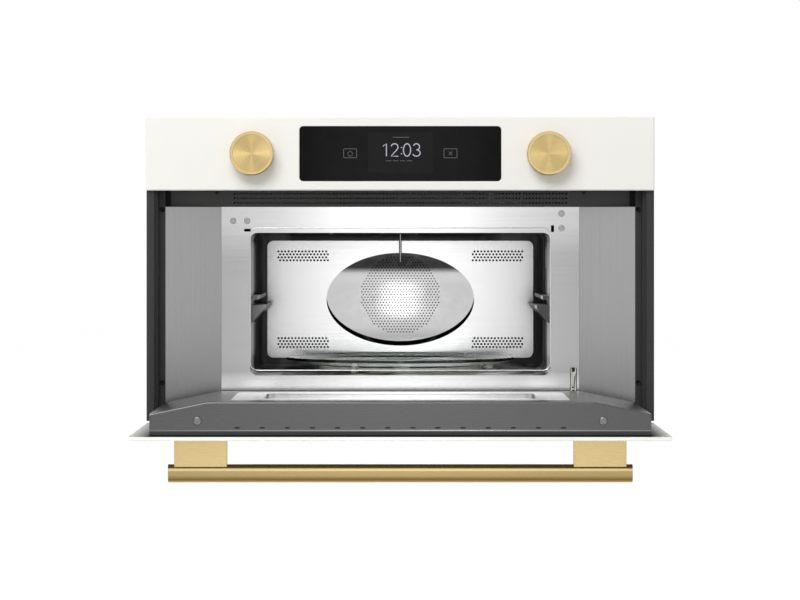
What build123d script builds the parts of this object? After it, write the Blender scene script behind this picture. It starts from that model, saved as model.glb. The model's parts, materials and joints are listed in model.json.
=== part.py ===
# Built-in microwave oven: drop-down door shown open, two knobs and a display above it.
# Millimetres. X runs to the right, the front faces -Y, Z is up.
# The origin is the centre of the housing's base face, where it rests on its shelf.
from build123d import *
from math import asin, cos, degrees, radians, sin, sqrt
import os

os.makedirs("parts", exist_ok=True)

# Front, seen from the room
FRONT_WIDTH = 758.0
PANEL_HEIGHT = 110.0
PANEL_THICK = 8.0
PANEL_BEVEL = 1.5
DOOR_HEIGHT = 345.0
PANEL_DOOR_GAP = 3.0
FRAME_SETBACK = 56.0

# Housing
HOUSING_WIDTH = 546.0
HOUSING_HEIGHT = 438.0
HOUSING_DEPTH = 530.0
BASE_ABOVE_FOOT = 14.0
SHEET = 1.0
FLANGE = 12.0
VENT_SLOT_LENGTH = 34.0
VENT_SLOT_WIDTH = 3.0
VENT_SLOT_PITCH = 12.0
VENT_ROW_PITCH = 102.0
BASE_VENTS = (9, 4)
TOP_VENTS = 30
TOP_VENT_FROM_REAR = 90.0
SIDE_VENTS = 10
SIDE_VENT_FROM_REAR = 100.0
REAR_VENTS = 20
VENT_BELOW_TOP = 60.0

# Front frame around the cavity, and its side wings
FRAME_WIDTH = 539.4
FRAME_TOP_ABOVE_FOOT = 324.0
FRAME_THICK = 1.5
WING_OUTER_X = 353.0
WING_OUTER_SETBACK = 39.0
WING_THICK = 1.2
WING_GAP = 0.25
WING_BEND_SHORT = 0.7
WING_BEND_LONG = 1.6
WING_FLANGE = 24.0

# Side and bottom trim
TRIM_SETBACK = 8.0
TRIM_REAR = 45.0
TRIM_FLAT = 11.0
TRIM_SLOPE_RUN = 6.0
TRIM_SLOPE_DROP = 7.0
TRIM_GROOVE_SETBACK = 38.0
TRIM_WALL = 1.6
TRIM_HOLLOW_SETBACK = 3.0
TRIM_FOOT_CLEAR = 4.0
TRIM_TOP_CLEAR = 2.0
SCREW_HOLE_RADIUS = 2.25
SCREW_HOLE_SPACING_Z = 260.0
BOTTOM_TRIM_FRONT = 32.0
BOTTOM_LIP_INSET = 4.0

# Vent strip
STRIP_THICK = 1.2
STRIP_HOLE = 2.6
STRIP_HOLE_PITCH = 5.0
STRIP_ROW_PITCH = 7.0
STRIP_COLUMNS = 101
STRIP_ROWS = 3

# Cavity
CAVITY_WIDTH = 453.0
CAVITY_HEIGHT = 215.0
CAVITY_DEPTH = 390.0
CAVITY_FLOOR_ABOVE_FOOT = 70.0
CAVITY_CORNER = 11.0
CAVITY_WALL = 1.0
BACK_CORNER = 9.5
SHELL_SEAM_INSET = 2.0
BACK_OPENING_WIDTH = 432.0
BACK_OPENING_HEIGHT = 190.0
BACK_LAP = 7.0
GRILLE_HOLE = 3.5
GRILLE_PITCH = 5.54
GRILLE_ROW_PITCH = 4.8
GRILLE_COLUMNS = 15
GRILLE_ROWS = 4
GRILLE_CENTRE_X = 158.0
GRILLE_CENTRE_Z = 70.5

# Oval fan cover in the back wall
DISH_WIDTH = 240.0
DISH_HEIGHT = 151.0
DISH_DEPTH = 13.0
DISH_FLOOR_RADIUS = 68.0
DISH_LAP = 9.0
DISH_HOLE = 2.4
DISH_PITCH = 5.0
DISH_PERFORATED_RADIUS = 64.0
DISH_OVAL = 0.1

# Fan chamber behind the back wall
CHAMBER_WIDTH = 430.0
CHAMBER_HEIGHT = 190.0
CHAMBER_DEPTH = 70.0
FAN_RADIUS = 70.0
FAN_BLADE_HEIGHT = 24.0
FAN_BLADES = 12
FAN_SHAFT_RADIUS = 4.0
FAN_SHAFT_TAIL = 20.0
FAN_DISC_THICK = 1.2
FAN_DISC_AHEAD = 18.0
FAN_BLADE_SPAN = 42.0
FAN_BLADE_REACH = 47.6
FAN_BLADE_ANGLE = 24.0
FAN_HUB_RADIUS = 12.0
FAN_HUB_HEIGHT = 14.0
HEATER_RING_RADIUS = 84.0
HEATER_TUBE_RADIUS = 3.25
HEATER_LEG_X = 12.0
HEATER_LEG_RADIUS = 4.5
HEATER_SETBACK = 30.0
HEATER_TAIL = 9.0
CONVECTION_MOTOR_RADIUS = 32.0
CONVECTION_MOTOR_LENGTH = 44.0
MOTOR_FLANGE = (96.0, 40.0, 2.0)
MOTOR_FLANGE_CORNER = 6.0
MOTOR_BORE_DEPTH = 24.0

# Grill element in its ceiling pocket, as the places of its four legs
GRILL_LEGS = (-156.0, -109.0, -26.0, 25.0)
GRILL_FRONT = 70.0
GRILL_REAR = 270.0
GRILL_TUBE_RADIUS = 3.25
GRILL_DIP = 1.8
GRILL_TURN = 20.0
GRILL_RISE_TURN = 7.0
GRILL_MIDDLE_SHORT = 25.0
GRILL_TAIL = 12.0
POCKET_MARGIN = 14.0
POCKET_HEIGHT = 15.0
DECK_GAP = 3.0

# Fittings inside the cavity
PROBE_SETBACK = 368.0
PROBE_RADIUS = 2.0
PROBE_TIP_RADIUS = 1.2
PROBE_LENGTH = 35.0
PROBE_TIP_LENGTH = 12.0
PROBE_BOSS = (6.0, 2.5)
RUNNER_TOP = 104.6
RUNNER_REACH = 19.0
RUNNER_LIP = 5.0
RUNNER_HEIGHT = 27.0
RUNNER_FRONT = 34.0
RUNNER_REAR = 344.0
GUIDE_HEIGHT = 5.5
GUIDE_REACH = 10.0
GUIDE_ABOVE_RUNNER = 9.3
LAMP_SETBACK = 156.0
LAMP_ABOVE_FLOOR = 176.0
LAMP_RADIUS = 17.0
LAMP_HOLDER_DEPTH = 26.0
LAMP_PLATE = (54.0, 40.0, 2.0)
LAMP_PLATE_CORNER = 5.0

# Turntable
TRAY_RADIUS = 178.0
TRAY_FLAT_RADIUS = 152.0
TRAY_THICK = 4.5
TRAY_RIM_RISE = 6.5
TRAY_CENTRE = 196.0
ROLLER_RADIUS = 5.0
ROLLER_WIDTH = 9.0
ROLLER_TRACK = 139.0
ROLLER_AXLE_RADIUS = 1.5
ROLLER_COUNT = 3
RING_INNER = 120.0
RING_OUTER = 128.0
RING_THICK = 5.0
COUPLER_RADIUS = 15.0
COUPLER_LOBES = 3
COUPLER_SHAFT_RADIUS = 4.0
TURNTABLE_MOTOR_RADIUS = 30.0
TURNTABLE_MOTOR_HEIGHT = 22.0

# Control panel fittings
LENS_WIDTH = 301.0
LENS_HEIGHT = 82.0
LENS_CORNER = 6.0
LENS_THICK = 3.0
LENS_SINK = 0.3
CONTROL_CENTRE_BELOW_TOP = 55.0
KNOB_X = 221.0
KNOB_RADIUS = 32.5
KNOB_RIM = 4.3
KNOB_PROJECTION = 25.0
KNOB_SKIRT = 3.0
KNOB_RECESS = 3.6
KNOB_EDGE = 1.0
KNOB_PANEL_GAP = 1.0
KNOB_SHAFT_SHORT = 1.0
KNOB_DISC_THICK = 1.4
KNOB_SHAFT_RADIUS = 3.0
ENCODER_SIDE = 22.0
ENCODER_DEPTH = 14.0
ENCODER_CORNER = 2.0
BUSH_SINK = 1.0
CARRIER_WALL = 1.5
CARRIER_HEIGHT = 101.0
CARRIER_ABOVE_FOOT = 350.0
CARRIER_CABLE_HOLE = (60.0, 24.0)
CARRIER_CABLE_X = 100.0
CARRIER_CABLE_CORNER = 4.0
BOARD_WIDTH = 320.0
BOARD_HEIGHT = 84.0
BOARD_THICK = 1.6
BOARD_SETBACK = 22.0
STANDOFF_RADIUS = 4.0
STANDOFF_INSET = 11.0
DISPLAY_BORDER = 9.5
BOARD_RELAY = (40.0, 24.0, 14.0)
BOARD_RELAY_X = -60.0

# Door, as depths from its outer face and heights above its foot when it is closed
GLASS_THICK = 6.0
GLASS_BEVEL = 0.8
SEAL_THICK = 2.4
SPACER_THICK = 4.4
LINER_DEPTH = 54.5
LINER_SIDE_DEPTH = 37.6
LINER_HALF_WIDTH = 350.0
LINER_FOOT = 20.0
LINER_TOP = 342.5
LINER_WALL = 1.2
LINER_EDGE_RADIUS = 2.5
SEAL_WIDTH = 14.0
CHOKE_WIDTH = 480.0
CHOKE_HEIGHT = 240.0
CHOKE_LAP = 6.0
WINDOW_WIDTH = 390.0
WINDOW_HEIGHT = 165.0
WINDOW_LAP = 6.0
INNER_GLASS_THICK = 4.0
SCREEN_THICK = 0.8
AIR_SLOTS = 14
AIR_SLOT_PITCH = 35.0
AIR_SLOT_LENGTH = 7.0
AIR_SLOT_WIDTH = 1.6
AIR_SLOT_DEPTH = 18.2
EDGE_SCREW_X = 283.0
EDGE_SCREW_DEPTH = 28.0
EDGE_SCREW_RADIUS = 6.0
EDGE_SCREW_RISE = 3.0
EDGE_SCREW_SHANK = 2.0

# Handle
HANDLE_BELOW_TOP = 38.0
BAR_LENGTH = 652.0
BAR_DEPTH = 25.0
BAR_HEIGHT = 18.0
BAR_SLANT = 4.5
BAR_SLANT_NEAR = 4.5
BAR_SLANT_FAR = 6.8
BAR_EDGE = 0.8
POST_CENTRE_X = 280.2
POST_WIDTH = 74.4
POST_HEIGHT = 16.0
POST_LENGTH = 35.0
POST_EDGE = 1.2
POST_LAP = 3.0

# Hinges
PIVOT_BEHIND_FACE = 14.0
PIVOT_ABOVE_FOOT = 8.4
HINGE_X = 310.0
HINGE_ARM_WIDTH = 8.4
HINGE_ARM_GAP = 0.3
HINGE_EAR_THICK = 3.0
HINGE_EAR_RADIUS = 5.5
HINGE_ARM_RADIUS = 5.2
HINGE_PIN_RADIUS = 2.5
HINGE_PLATE_WIDTH = 40.0
HINGE_PLATE_THICK = 1.6

# Interlock lever in the frame's lower right slot
LEVER_X = 261.0
LEVER_THICK = 4.0
LEVER_PIVOT_BEHIND_FRAME = 16.0
LEVER_PIVOT_ABOVE_FOOT = 48.0
LEVER_HUB_RADIUS = 5.0
LEVER_PIN_RADIUS = 2.0
LEVER_NOSE_ABOVE_FOOT = 72.0
LEVER_NOSE_HEIGHT = 7.0
LEVER_NOSE_REACH = 6.5
LEVER_ARM_WIDTH = 6.0
INTERLOCK_SLOT = (10.0, 41.0)
INTERLOCK_SLOT_ABOVE_FOOT = 61.5
BRACKET_WALL = 1.5
BRACKET_GAP = 0.35
BRACKET_DEPTH = 38.0
BRACKET_HEIGHT = 54.0
SWITCH_BLOCK = (24.0, 15.0)
SWITCH_BLOCK_THICK = 10.0
SWITCH_BLOCK_PITCH = 26.0
SWITCH_BLOCK_SETBACK = 24.0

# Clearances
FIT = 0.05
PLAY = 0.3
SEAT = 0.2
DOOR_CLEAR = 0.5
SHAFT_CLEAR = 1.0

# Places worked out from the sizes above
FRONT_HEIGHT = DOOR_HEIGHT + PANEL_DOOR_GAP + PANEL_HEIGHT
FACE_Y = -(FRAME_SETBACK + HOUSING_DEPTH / 2)
FRAME_Y = FACE_Y + FRAME_SETBACK
FRAME_BACK_Y = FRAME_Y + FRAME_THICK
REAR_Y = FRAME_Y + HOUSING_DEPTH
FOOT_Z = -BASE_ABOVE_FOOT
TOP_Z = FOOT_Z + FRONT_HEIGHT
FRAME_TOP_Z = FOOT_Z + FRAME_TOP_ABOVE_FOOT
CARRIER_Z = FOOT_Z + CARRIER_ABOVE_FOOT
FLOOR_Z = FOOT_Z + CAVITY_FLOOR_ABOVE_FOOT
CEILING_Z = FLOOR_Z + CAVITY_HEIGHT
CAVITY_Z = FLOOR_Z + CAVITY_HEIGHT / 2
BACK_Y = FRAME_Y + CAVITY_DEPTH
BACK_WALL_Y = BACK_Y + CAVITY_WALL
CHAMBER_Y = BACK_WALL_Y + SHEET
CONTROL_Z = TOP_Z - CONTROL_CENTRE_BELOW_TOP
PIVOT_Y = FACE_Y + PIVOT_BEHIND_FACE
PIVOT_Z = FOOT_Z + PIVOT_ABOVE_FOOT
DOOR_FOOT_Y = PIVOT_Y + PIVOT_ABOVE_FOOT
DOOR_FACE_Z = PIVOT_Z - PIVOT_BEHIND_FACE
TRAY_Y = FRAME_Y + TRAY_CENTRE
TRAY_Z = FLOOR_Z + 2 * ROLLER_RADIUS + 2 * PLAY
DECK_Z = CEILING_Z + CAVITY_WALL + POCKET_HEIGHT + SHEET + DECK_GAP
SIDE_X = HOUSING_WIDTH / 2
TRIM_GROOVE_X = (WING_OUTER_X + FRONT_WIDTH / 2 - TRIM_FLAT - TRIM_SLOPE_RUN) / 2

# Working planes. FRONT planes face the room with X to the right and Z up.
# The door lies open, so its face plane looks down and its section plane looks out.
DOOR_FACE = Plane(origin=(0, DOOR_FOOT_Y, DOOR_FACE_Z), x_dir=(1, 0, 0), z_dir=(0, 0, -1))
DOOR_SECTION = Plane(origin=(0, DOOR_FOOT_Y, DOOR_FACE_Z), x_dir=(1, 0, 0), z_dir=(0, -1, 0))


def front(y, x=0.0, z=0.0):
    """A plane that faces the room, at depth y, centred on x and z."""
    return Plane(origin=(x, y, z), x_dir=(1, 0, 0), z_dir=(0, -1, 0))


def side(x, y=0.0, z=0.0):
    """A plane that faces right, at x, with its first axis to the rear."""
    return Plane(origin=(x, y, z), x_dir=(0, 1, 0), z_dir=(1, 0, 0))


def level(z, x=0.0, y=0.0):
    """A level plane at height z, centred on x and y."""
    return Plane(origin=(x, y, z), x_dir=(1, 0, 0), z_dir=(0, 0, 1))


def save(piece, name):
    """Label a finished piece and write its STEP file."""
    piece.part.label = name
    export_step(piece.part, f"parts/{name}.step")


# Housing base: a tray with side flanges that the cover slips over
with BuildPart() as housing_base:
    base_depth = REAR_Y - SHEET - FRAME_BACK_Y
    base_y = (REAR_Y - SHEET + FRAME_BACK_Y) / 2
    with BuildSketch(level(0, y=base_y)):
        Rectangle(HOUSING_WIDTH - 2 * SHEET, base_depth)
    extrude(amount=SHEET)
    with BuildSketch(level(SHEET, y=base_y)):
        with GridLocations(HOUSING_WIDTH - 3 * SHEET, 0, 2, 1):
            Rectangle(SHEET, base_depth)
    extrude(amount=FLANGE)
    with BuildSketch(level(0, y=base_y)):
        with GridLocations(VENT_SLOT_PITCH, VENT_ROW_PITCH, *BASE_VENTS):
            SlotOverall(VENT_SLOT_LENGTH, VENT_SLOT_WIDTH, rotation=90)
    extrude(amount=SHEET, mode=Mode.SUBTRACT)
save(housing_base, "housing_base")

# Housing cover: two sides and the top, with slots for air
with BuildPart() as housing_cover:
    with BuildSketch(front(REAR_Y - SHEET, z=HOUSING_HEIGHT / 2)):
        Rectangle(HOUSING_WIDTH, HOUSING_HEIGHT)
        with Locations((0, -SHEET)):
            Rectangle(HOUSING_WIDTH - 2 * SHEET, HOUSING_HEIGHT, mode=Mode.SUBTRACT)
    extrude(amount=base_depth)
    with BuildSketch(level(HOUSING_HEIGHT, y=REAR_Y - TOP_VENT_FROM_REAR)):
        with GridLocations(VENT_SLOT_PITCH, 0, TOP_VENTS, 1):
            SlotOverall(VENT_SLOT_LENGTH, VENT_SLOT_WIDTH, rotation=90)
    extrude(amount=-SHEET, mode=Mode.SUBTRACT)
    with BuildSketch(side(SIDE_X, y=REAR_Y - SIDE_VENT_FROM_REAR, z=HOUSING_HEIGHT - VENT_BELOW_TOP)):
        with GridLocations(VENT_SLOT_PITCH, 0, SIDE_VENTS, 1):
            SlotOverall(VENT_SLOT_LENGTH, VENT_SLOT_WIDTH, rotation=90)
    extrude(amount=-HOUSING_WIDTH, mode=Mode.SUBTRACT)
save(housing_cover, "housing_cover")

# Rear panel: closes the housing and holds the mains gland
GLAND_X = -205.0
GLAND_Z = 392.0
GLAND_RADIUS = 10.0
with BuildPart() as rear_panel:
    with BuildSketch(front(REAR_Y, z=HOUSING_HEIGHT / 2)):
        Rectangle(HOUSING_WIDTH, HOUSING_HEIGHT)
    extrude(amount=SHEET)
    with BuildSketch(front(REAR_Y, x=GLAND_X, z=GLAND_Z)):
        Circle(GLAND_RADIUS)
    extrude(amount=SHEET, mode=Mode.SUBTRACT)
    with BuildSketch(front(REAR_Y, z=HOUSING_HEIGHT - VENT_BELOW_TOP)):
        with GridLocations(VENT_SLOT_PITCH, 0, REAR_VENTS, 1):
            SlotOverall(VENT_SLOT_LENGTH, VENT_SLOT_WIDTH, rotation=90)
    extrude(amount=SHEET, mode=Mode.SUBTRACT)
save(rear_panel, "rear_panel")

# Front frame: the bright plate around the cavity's mouth
FRAME_SCREWS = (
    (-252.0, FOOT_Z + 303.0),
    (-231.0, FOOT_Z + 303.0),
    (243.0, FOOT_Z + 314.0),
    (243.0, FOOT_Z + 292.0),
)
SCREW_HEAD_RADIUS = 4.8
SCREW_HEAD_RISE = FRAME_SETBACK - LINER_DEPTH - DOOR_CLEAR
SCREW_DEPTH = 9.0
SCREW_SHANK_RADIUS = 2.0
LATCH_SLOT_LEFT = (-230.5, FOOT_Z + 289.0, 10.0, 4.2)
LATCH_SLOT_RIGHT = (229.5, FOOT_Z + 291.3, 4.7, 10.3)
LATCH_SLOT_CORNER = 1.2
INTERLOCK_SLOT_CORNER = 2.5
with BuildPart() as front_frame:
    with BuildSketch(front(FRAME_BACK_Y, z=FRAME_TOP_Z / 2)):
        Rectangle(FRAME_WIDTH, FRAME_TOP_Z)
        with Locations((0, CAVITY_Z - FRAME_TOP_Z / 2)):
            RectangleRounded(CAVITY_WIDTH, CAVITY_HEIGHT, CAVITY_CORNER, mode=Mode.SUBTRACT)
    extrude(amount=FRAME_THICK)
    with BuildSketch(front(FRAME_BACK_Y)):
        with Locations(*FRAME_SCREWS):
            Circle(SCREW_SHANK_RADIUS + SEAT)
        for slot_x, slot_z, slot_width, slot_height in (LATCH_SLOT_LEFT, LATCH_SLOT_RIGHT):
            with Locations((slot_x, slot_z)):
                RectangleRounded(slot_width, slot_height, LATCH_SLOT_CORNER)
        with Locations((LEVER_X, FOOT_Z + INTERLOCK_SLOT_ABOVE_FOOT)):
            RectangleRounded(*INTERLOCK_SLOT, INTERLOCK_SLOT_CORNER)
    extrude(amount=FRAME_THICK, mode=Mode.SUBTRACT)
save(front_frame, "front_frame")

# Screws in the front frame
with BuildPart() as frame_screws:
    for screw_x, screw_z in FRAME_SCREWS:
        with BuildSketch(front(FRAME_Y, x=screw_x, z=screw_z)):
            Circle(SCREW_SHANK_RADIUS)
        extrude(amount=-SCREW_DEPTH)
        with BuildSketch(front(FRAME_Y, x=screw_x, z=screw_z)):
            Circle(SCREW_HEAD_RADIUS)
        extrude(amount=SCREW_HEAD_RISE)
    fillet(frame_screws.faces().filter_by(Axis.Y).group_by(Axis.Y)[0].edges(), SCREW_HEAD_RISE * 0.8)
save(frame_screws, "frame_screws")


# Wings: angled sheets from the frame out to the trim
WING_INNER_X = FRAME_WIDTH / 2 + WING_GAP
WING_OUTER_Y = FACE_Y + WING_OUTER_SETBACK
WING_TOP_Z = FRAME_TOP_Z
TRIM_BACK_Y = FACE_Y + TRIM_REAR


def make_wing(hand):
    """One wing, with a flange on the cover's side and one on the trim."""
    wing_end_x = WING_OUTER_X - SEAT
    with BuildPart() as wing:
        with BuildSketch(level(0)):
            with BuildLine():
                Polyline(
                    (hand * WING_INNER_X, FRAME_Y),
                    (hand * wing_end_x, WING_OUTER_Y),
                    (hand * wing_end_x, TRIM_BACK_Y),
                    (hand * (wing_end_x - WING_THICK), TRIM_BACK_Y),
                    (hand * (wing_end_x - WING_THICK), WING_OUTER_Y + WING_BEND_LONG),
                    (hand * (SIDE_X + WING_THICK), FRAME_Y + WING_BEND_SHORT),
                    (hand * (SIDE_X + WING_THICK), FRAME_BACK_Y + WING_FLANGE),
                    (hand * SIDE_X, FRAME_BACK_Y + WING_FLANGE),
                    (hand * SIDE_X, FRAME_Y + WING_THICK),
                    (hand * WING_INNER_X, FRAME_Y + WING_THICK),
                    close=True,
                )
            make_face()
        extrude(amount=WING_TOP_Z)
    return wing


wing_left = make_wing(-1)
save(wing_left, "wing_left")
wing_right = make_wing(1)
save(wing_right, "wing_right")

# Side trims: hollow black uprights that cover the cabinet's edge
TRIM_OUTER_X = FRONT_WIDTH / 2
TRIM_FRONT_Y = FACE_Y + TRIM_SETBACK
TRIM_GROOVE_Y = FACE_Y + TRIM_GROOVE_SETBACK
TRIM_FOOT_Z = FOOT_Z + TRIM_FOOT_CLEAR
TRIM_TOP_Z = TOP_Z - TRIM_TOP_CLEAR
SCREW_MID_Z = FOOT_Z + 190.0
with BuildPart() as side_trims:
    for hand in (-1, 1):
        slope_x = TRIM_OUTER_X - TRIM_FLAT - TRIM_SLOPE_RUN
        with BuildSketch(level(TRIM_FOOT_Z)):
            with BuildLine():
                Polyline(
                    (hand * TRIM_OUTER_X, TRIM_FRONT_Y),
                    (hand * (TRIM_OUTER_X - TRIM_FLAT), TRIM_FRONT_Y),
                    (hand * slope_x, TRIM_FRONT_Y + TRIM_SLOPE_DROP),
                    (hand * slope_x, TRIM_GROOVE_Y),
                    (hand * WING_OUTER_X, TRIM_GROOVE_Y),
                    (hand * WING_OUTER_X, TRIM_BACK_Y),
                    (hand * TRIM_OUTER_X, TRIM_BACK_Y),
                    close=True,
                )
            make_face()
            hollow_y = (TRIM_FRONT_Y + TRIM_BACK_Y) / 2 + TRIM_HOLLOW_SETBACK
            with Locations((hand * (slope_x + TRIM_OUTER_X) / 2, hollow_y)):
                Rectangle(
                    TRIM_OUTER_X - slope_x - 2 * TRIM_WALL,
                    TRIM_BACK_Y - TRIM_FRONT_Y - TRIM_SLOPE_DROP - 3 * TRIM_WALL,
                    mode=Mode.SUBTRACT,
                )
        extrude(amount=TRIM_TOP_Z - TRIM_FOOT_Z)
    with BuildSketch(front(TRIM_BACK_Y, z=SCREW_MID_Z)):
        with GridLocations(2 * TRIM_GROOVE_X, SCREW_HOLE_SPACING_Z, 2, 2):
            Circle(SCREW_HOLE_RADIUS)
    extrude(amount=TRIM_BACK_Y - TRIM_GROOVE_Y, mode=Mode.SUBTRACT)
save(side_trims, "side_trims")

# Bottom trim: an angle under the door's foot, with a lip back to the frame
with BuildPart() as trim_bottom:
    channel_y = FACE_Y + BOTTOM_TRIM_FRONT
    with BuildSketch(side(-WING_OUTER_X)):
        with BuildLine():
            Polyline(
                (channel_y, TRIM_FOOT_Z),
                (TRIM_BACK_Y, TRIM_FOOT_Z),
                (TRIM_BACK_Y, TRIM_FOOT_Z + TRIM_WALL),
                (channel_y + TRIM_WALL, TRIM_FOOT_Z + TRIM_WALL),
                (channel_y + TRIM_WALL, TRIM_WALL),
                (channel_y, TRIM_WALL),
                close=True,
            )
        make_face()
    extrude(amount=2 * WING_OUTER_X)
    with BuildSketch(level(0, y=(channel_y + FRAME_Y) / 2)):
        Rectangle(FRAME_WIDTH - 2 * BOTTOM_LIP_INSET, FRAME_Y - channel_y)
    extrude(amount=TRIM_WALL)
save(trim_bottom, "trim_bottom")

# Vent strip: black, with three rows of small square holes
STRIP_HEIGHT = CARRIER_Z - FRAME_TOP_Z
with BuildPart() as vent_strip:
    with BuildSketch(front(FRAME_Y + STRIP_THICK, z=FRAME_TOP_Z + STRIP_HEIGHT / 2)):
        Rectangle(2 * (WING_OUTER_X - SEAT), STRIP_HEIGHT)
        with GridLocations(STRIP_HOLE_PITCH, STRIP_ROW_PITCH, STRIP_COLUMNS, STRIP_ROWS):
            Rectangle(STRIP_HOLE, STRIP_HOLE, mode=Mode.SUBTRACT)
    extrude(amount=STRIP_THICK)
save(vent_strip, "vent_strip")

# Panel carrier: a shallow box behind the control panel
PANEL_BACK_Y = FACE_Y + PANEL_THICK
with BuildPart() as panel_carrier:
    carrier_mid_z = CARRIER_Z + CARRIER_HEIGHT / 2
    with BuildSketch(front(FRAME_BACK_Y, z=carrier_mid_z)):
        Rectangle(2 * (WING_OUTER_X - SEAT), CARRIER_HEIGHT)
    extrude(amount=FRAME_BACK_Y - PANEL_BACK_Y)
    with BuildSketch(front(FRAME_BACK_Y - CARRIER_WALL, z=carrier_mid_z)):
        Rectangle(2 * (WING_OUTER_X - SEAT - CARRIER_WALL), CARRIER_HEIGHT - 2 * CARRIER_WALL)
    extrude(amount=FRAME_BACK_Y - PANEL_BACK_Y, mode=Mode.SUBTRACT)
    with BuildSketch(front(FRAME_BACK_Y, x=CARRIER_CABLE_X, z=carrier_mid_z)):
        RectangleRounded(*CARRIER_CABLE_HOLE, CARRIER_CABLE_CORNER)
    extrude(amount=CARRIER_WALL, mode=Mode.SUBTRACT)
save(panel_carrier, "panel_carrier")

# Control panel: the white front plate
BUSH_RADIUS = 5.0
with BuildPart() as control_panel:
    with BuildSketch(front(PANEL_BACK_Y, z=TOP_Z - PANEL_HEIGHT / 2)):
        Rectangle(FRONT_WIDTH, PANEL_HEIGHT)
    extrude(amount=PANEL_THICK)
    chamfer(control_panel.faces().sort_by(Axis.Y)[0].edges(), PANEL_BEVEL)
    with BuildSketch(front(PANEL_BACK_Y, z=CONTROL_Z)):
        RectangleRounded(LENS_WIDTH + 2 * SEAT, LENS_HEIGHT + 2 * SEAT, LENS_CORNER)
        with GridLocations(2 * KNOB_X, 0, 2, 1):
            Circle(BUSH_RADIUS + SEAT)
    extrude(amount=PANEL_THICK, mode=Mode.SUBTRACT)
save(control_panel, "control_panel")

# Display lens, almost flush in the panel
LENS_BACK_Y = FACE_Y + LENS_SINK + LENS_THICK
with BuildPart() as display_lens:
    with BuildSketch(front(LENS_BACK_Y, z=CONTROL_Z)):
        RectangleRounded(LENS_WIDTH, LENS_HEIGHT, LENS_CORNER)
    extrude(amount=LENS_THICK)
save(display_lens, "display_lens")

# Control board: its display block touches the lens, and posts hold it off the carrier
BOARD_Y = FACE_Y + BOARD_SETBACK
with BuildPart() as control_board:
    with BuildSketch(front(BOARD_Y + BOARD_THICK, z=CONTROL_Z)):
        Rectangle(BOARD_WIDTH, BOARD_HEIGHT)
    extrude(amount=BOARD_THICK)
    with BuildSketch(front(BOARD_Y, z=CONTROL_Z)):
        Rectangle(LENS_WIDTH - 2 * DISPLAY_BORDER, LENS_HEIGHT - 2 * DISPLAY_BORDER)
    extrude(amount=BOARD_Y - LENS_BACK_Y)
    with BuildSketch(front(FRAME_BACK_Y - CARRIER_WALL, z=CONTROL_Z)):
        with GridLocations(BOARD_WIDTH - 2 * STANDOFF_INSET, BOARD_HEIGHT - 2 * STANDOFF_INSET, 2, 2):
            Circle(STANDOFF_RADIUS)
    extrude(amount=FRAME_BACK_Y - CARRIER_WALL - BOARD_Y - BOARD_THICK)
    relay_width, relay_height, relay_depth = BOARD_RELAY
    with BuildSketch(front(BOARD_Y + BOARD_THICK + relay_depth, x=BOARD_RELAY_X, z=CONTROL_Z)):
        Rectangle(relay_width, relay_height)
    extrude(amount=relay_depth)
save(control_board, "control_board")

# Rotary encoders behind the two knobs
with BuildPart() as encoders:
    with BuildSketch(front(PANEL_BACK_Y + ENCODER_DEPTH, z=CONTROL_Z)):
        with GridLocations(2 * KNOB_X, 0, 2, 1):
            RectangleRounded(ENCODER_SIDE, ENCODER_SIDE, ENCODER_CORNER)
    extrude(amount=ENCODER_DEPTH)
    with BuildSketch(front(PANEL_BACK_Y, z=CONTROL_Z)):
        with GridLocations(2 * KNOB_X, 0, 2, 1):
            Circle(BUSH_RADIUS)
    extrude(amount=PANEL_THICK - BUSH_SINK)
    with BuildSketch(front(PANEL_BACK_Y + ENCODER_DEPTH, z=CONTROL_Z)):
        with GridLocations(2 * KNOB_X, 0, 2, 1):
            Circle(KNOB_SHAFT_RADIUS + FIT)
    extrude(amount=ENCODER_DEPTH + PANEL_THICK, mode=Mode.SUBTRACT)
save(encoders, "encoders")


def make_knob(centre_x):
    """A knob's cup and shaft as one turned piece, and the disc set in its face."""
    skirt_y = FACE_Y - KNOB_PANEL_GAP
    shaft_end_y = PANEL_BACK_Y + ENCODER_DEPTH - KNOB_SHAFT_SHORT
    rim_y = FACE_Y - KNOB_PROJECTION
    floor_y = rim_y + KNOB_RECESS
    bore = KNOB_RADIUS - KNOB_RIM
    axis_plane = Plane(origin=(centre_x, 0, CONTROL_Z), x_dir=(1, 0, 0), z_dir=(0, 0, 1))
    with BuildPart() as knob:
        with BuildSketch(axis_plane):
            with BuildLine():
                Polyline(
                    (0, floor_y),
                    (bore, floor_y),
                    (bore, rim_y),
                    (KNOB_RADIUS - KNOB_EDGE, rim_y),
                    (KNOB_RADIUS, rim_y + KNOB_EDGE),
                    (KNOB_RADIUS, skirt_y),
                    (KNOB_RADIUS - KNOB_SKIRT, skirt_y),
                    (KNOB_RADIUS - KNOB_SKIRT, floor_y + KNOB_SKIRT),
                    (2 * KNOB_SHAFT_RADIUS, floor_y + KNOB_SKIRT),
                    (2 * KNOB_SHAFT_RADIUS, skirt_y),
                    (KNOB_SHAFT_RADIUS, skirt_y),
                    (KNOB_SHAFT_RADIUS, shaft_end_y),
                    (0, shaft_end_y),
                    close=True,
                )
            make_face()
        revolve(axis=Axis((centre_x, 0, CONTROL_Z), (0, 1, 0)))
    with BuildPart() as disc:
        with BuildSketch(front(floor_y, x=centre_x, z=CONTROL_Z)):
            Circle(bore - SEAT)
        extrude(amount=KNOB_DISC_THICK)
    return knob, disc


knob_left, knob_disc_left = make_knob(-KNOB_X)
save(knob_left, "knob_left")
save(knob_disc_left, "knob_disc_left")
knob_right, knob_disc_right = make_knob(KNOB_X)
save(knob_right, "knob_right")
save(knob_disc_right, "knob_disc_right")

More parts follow.
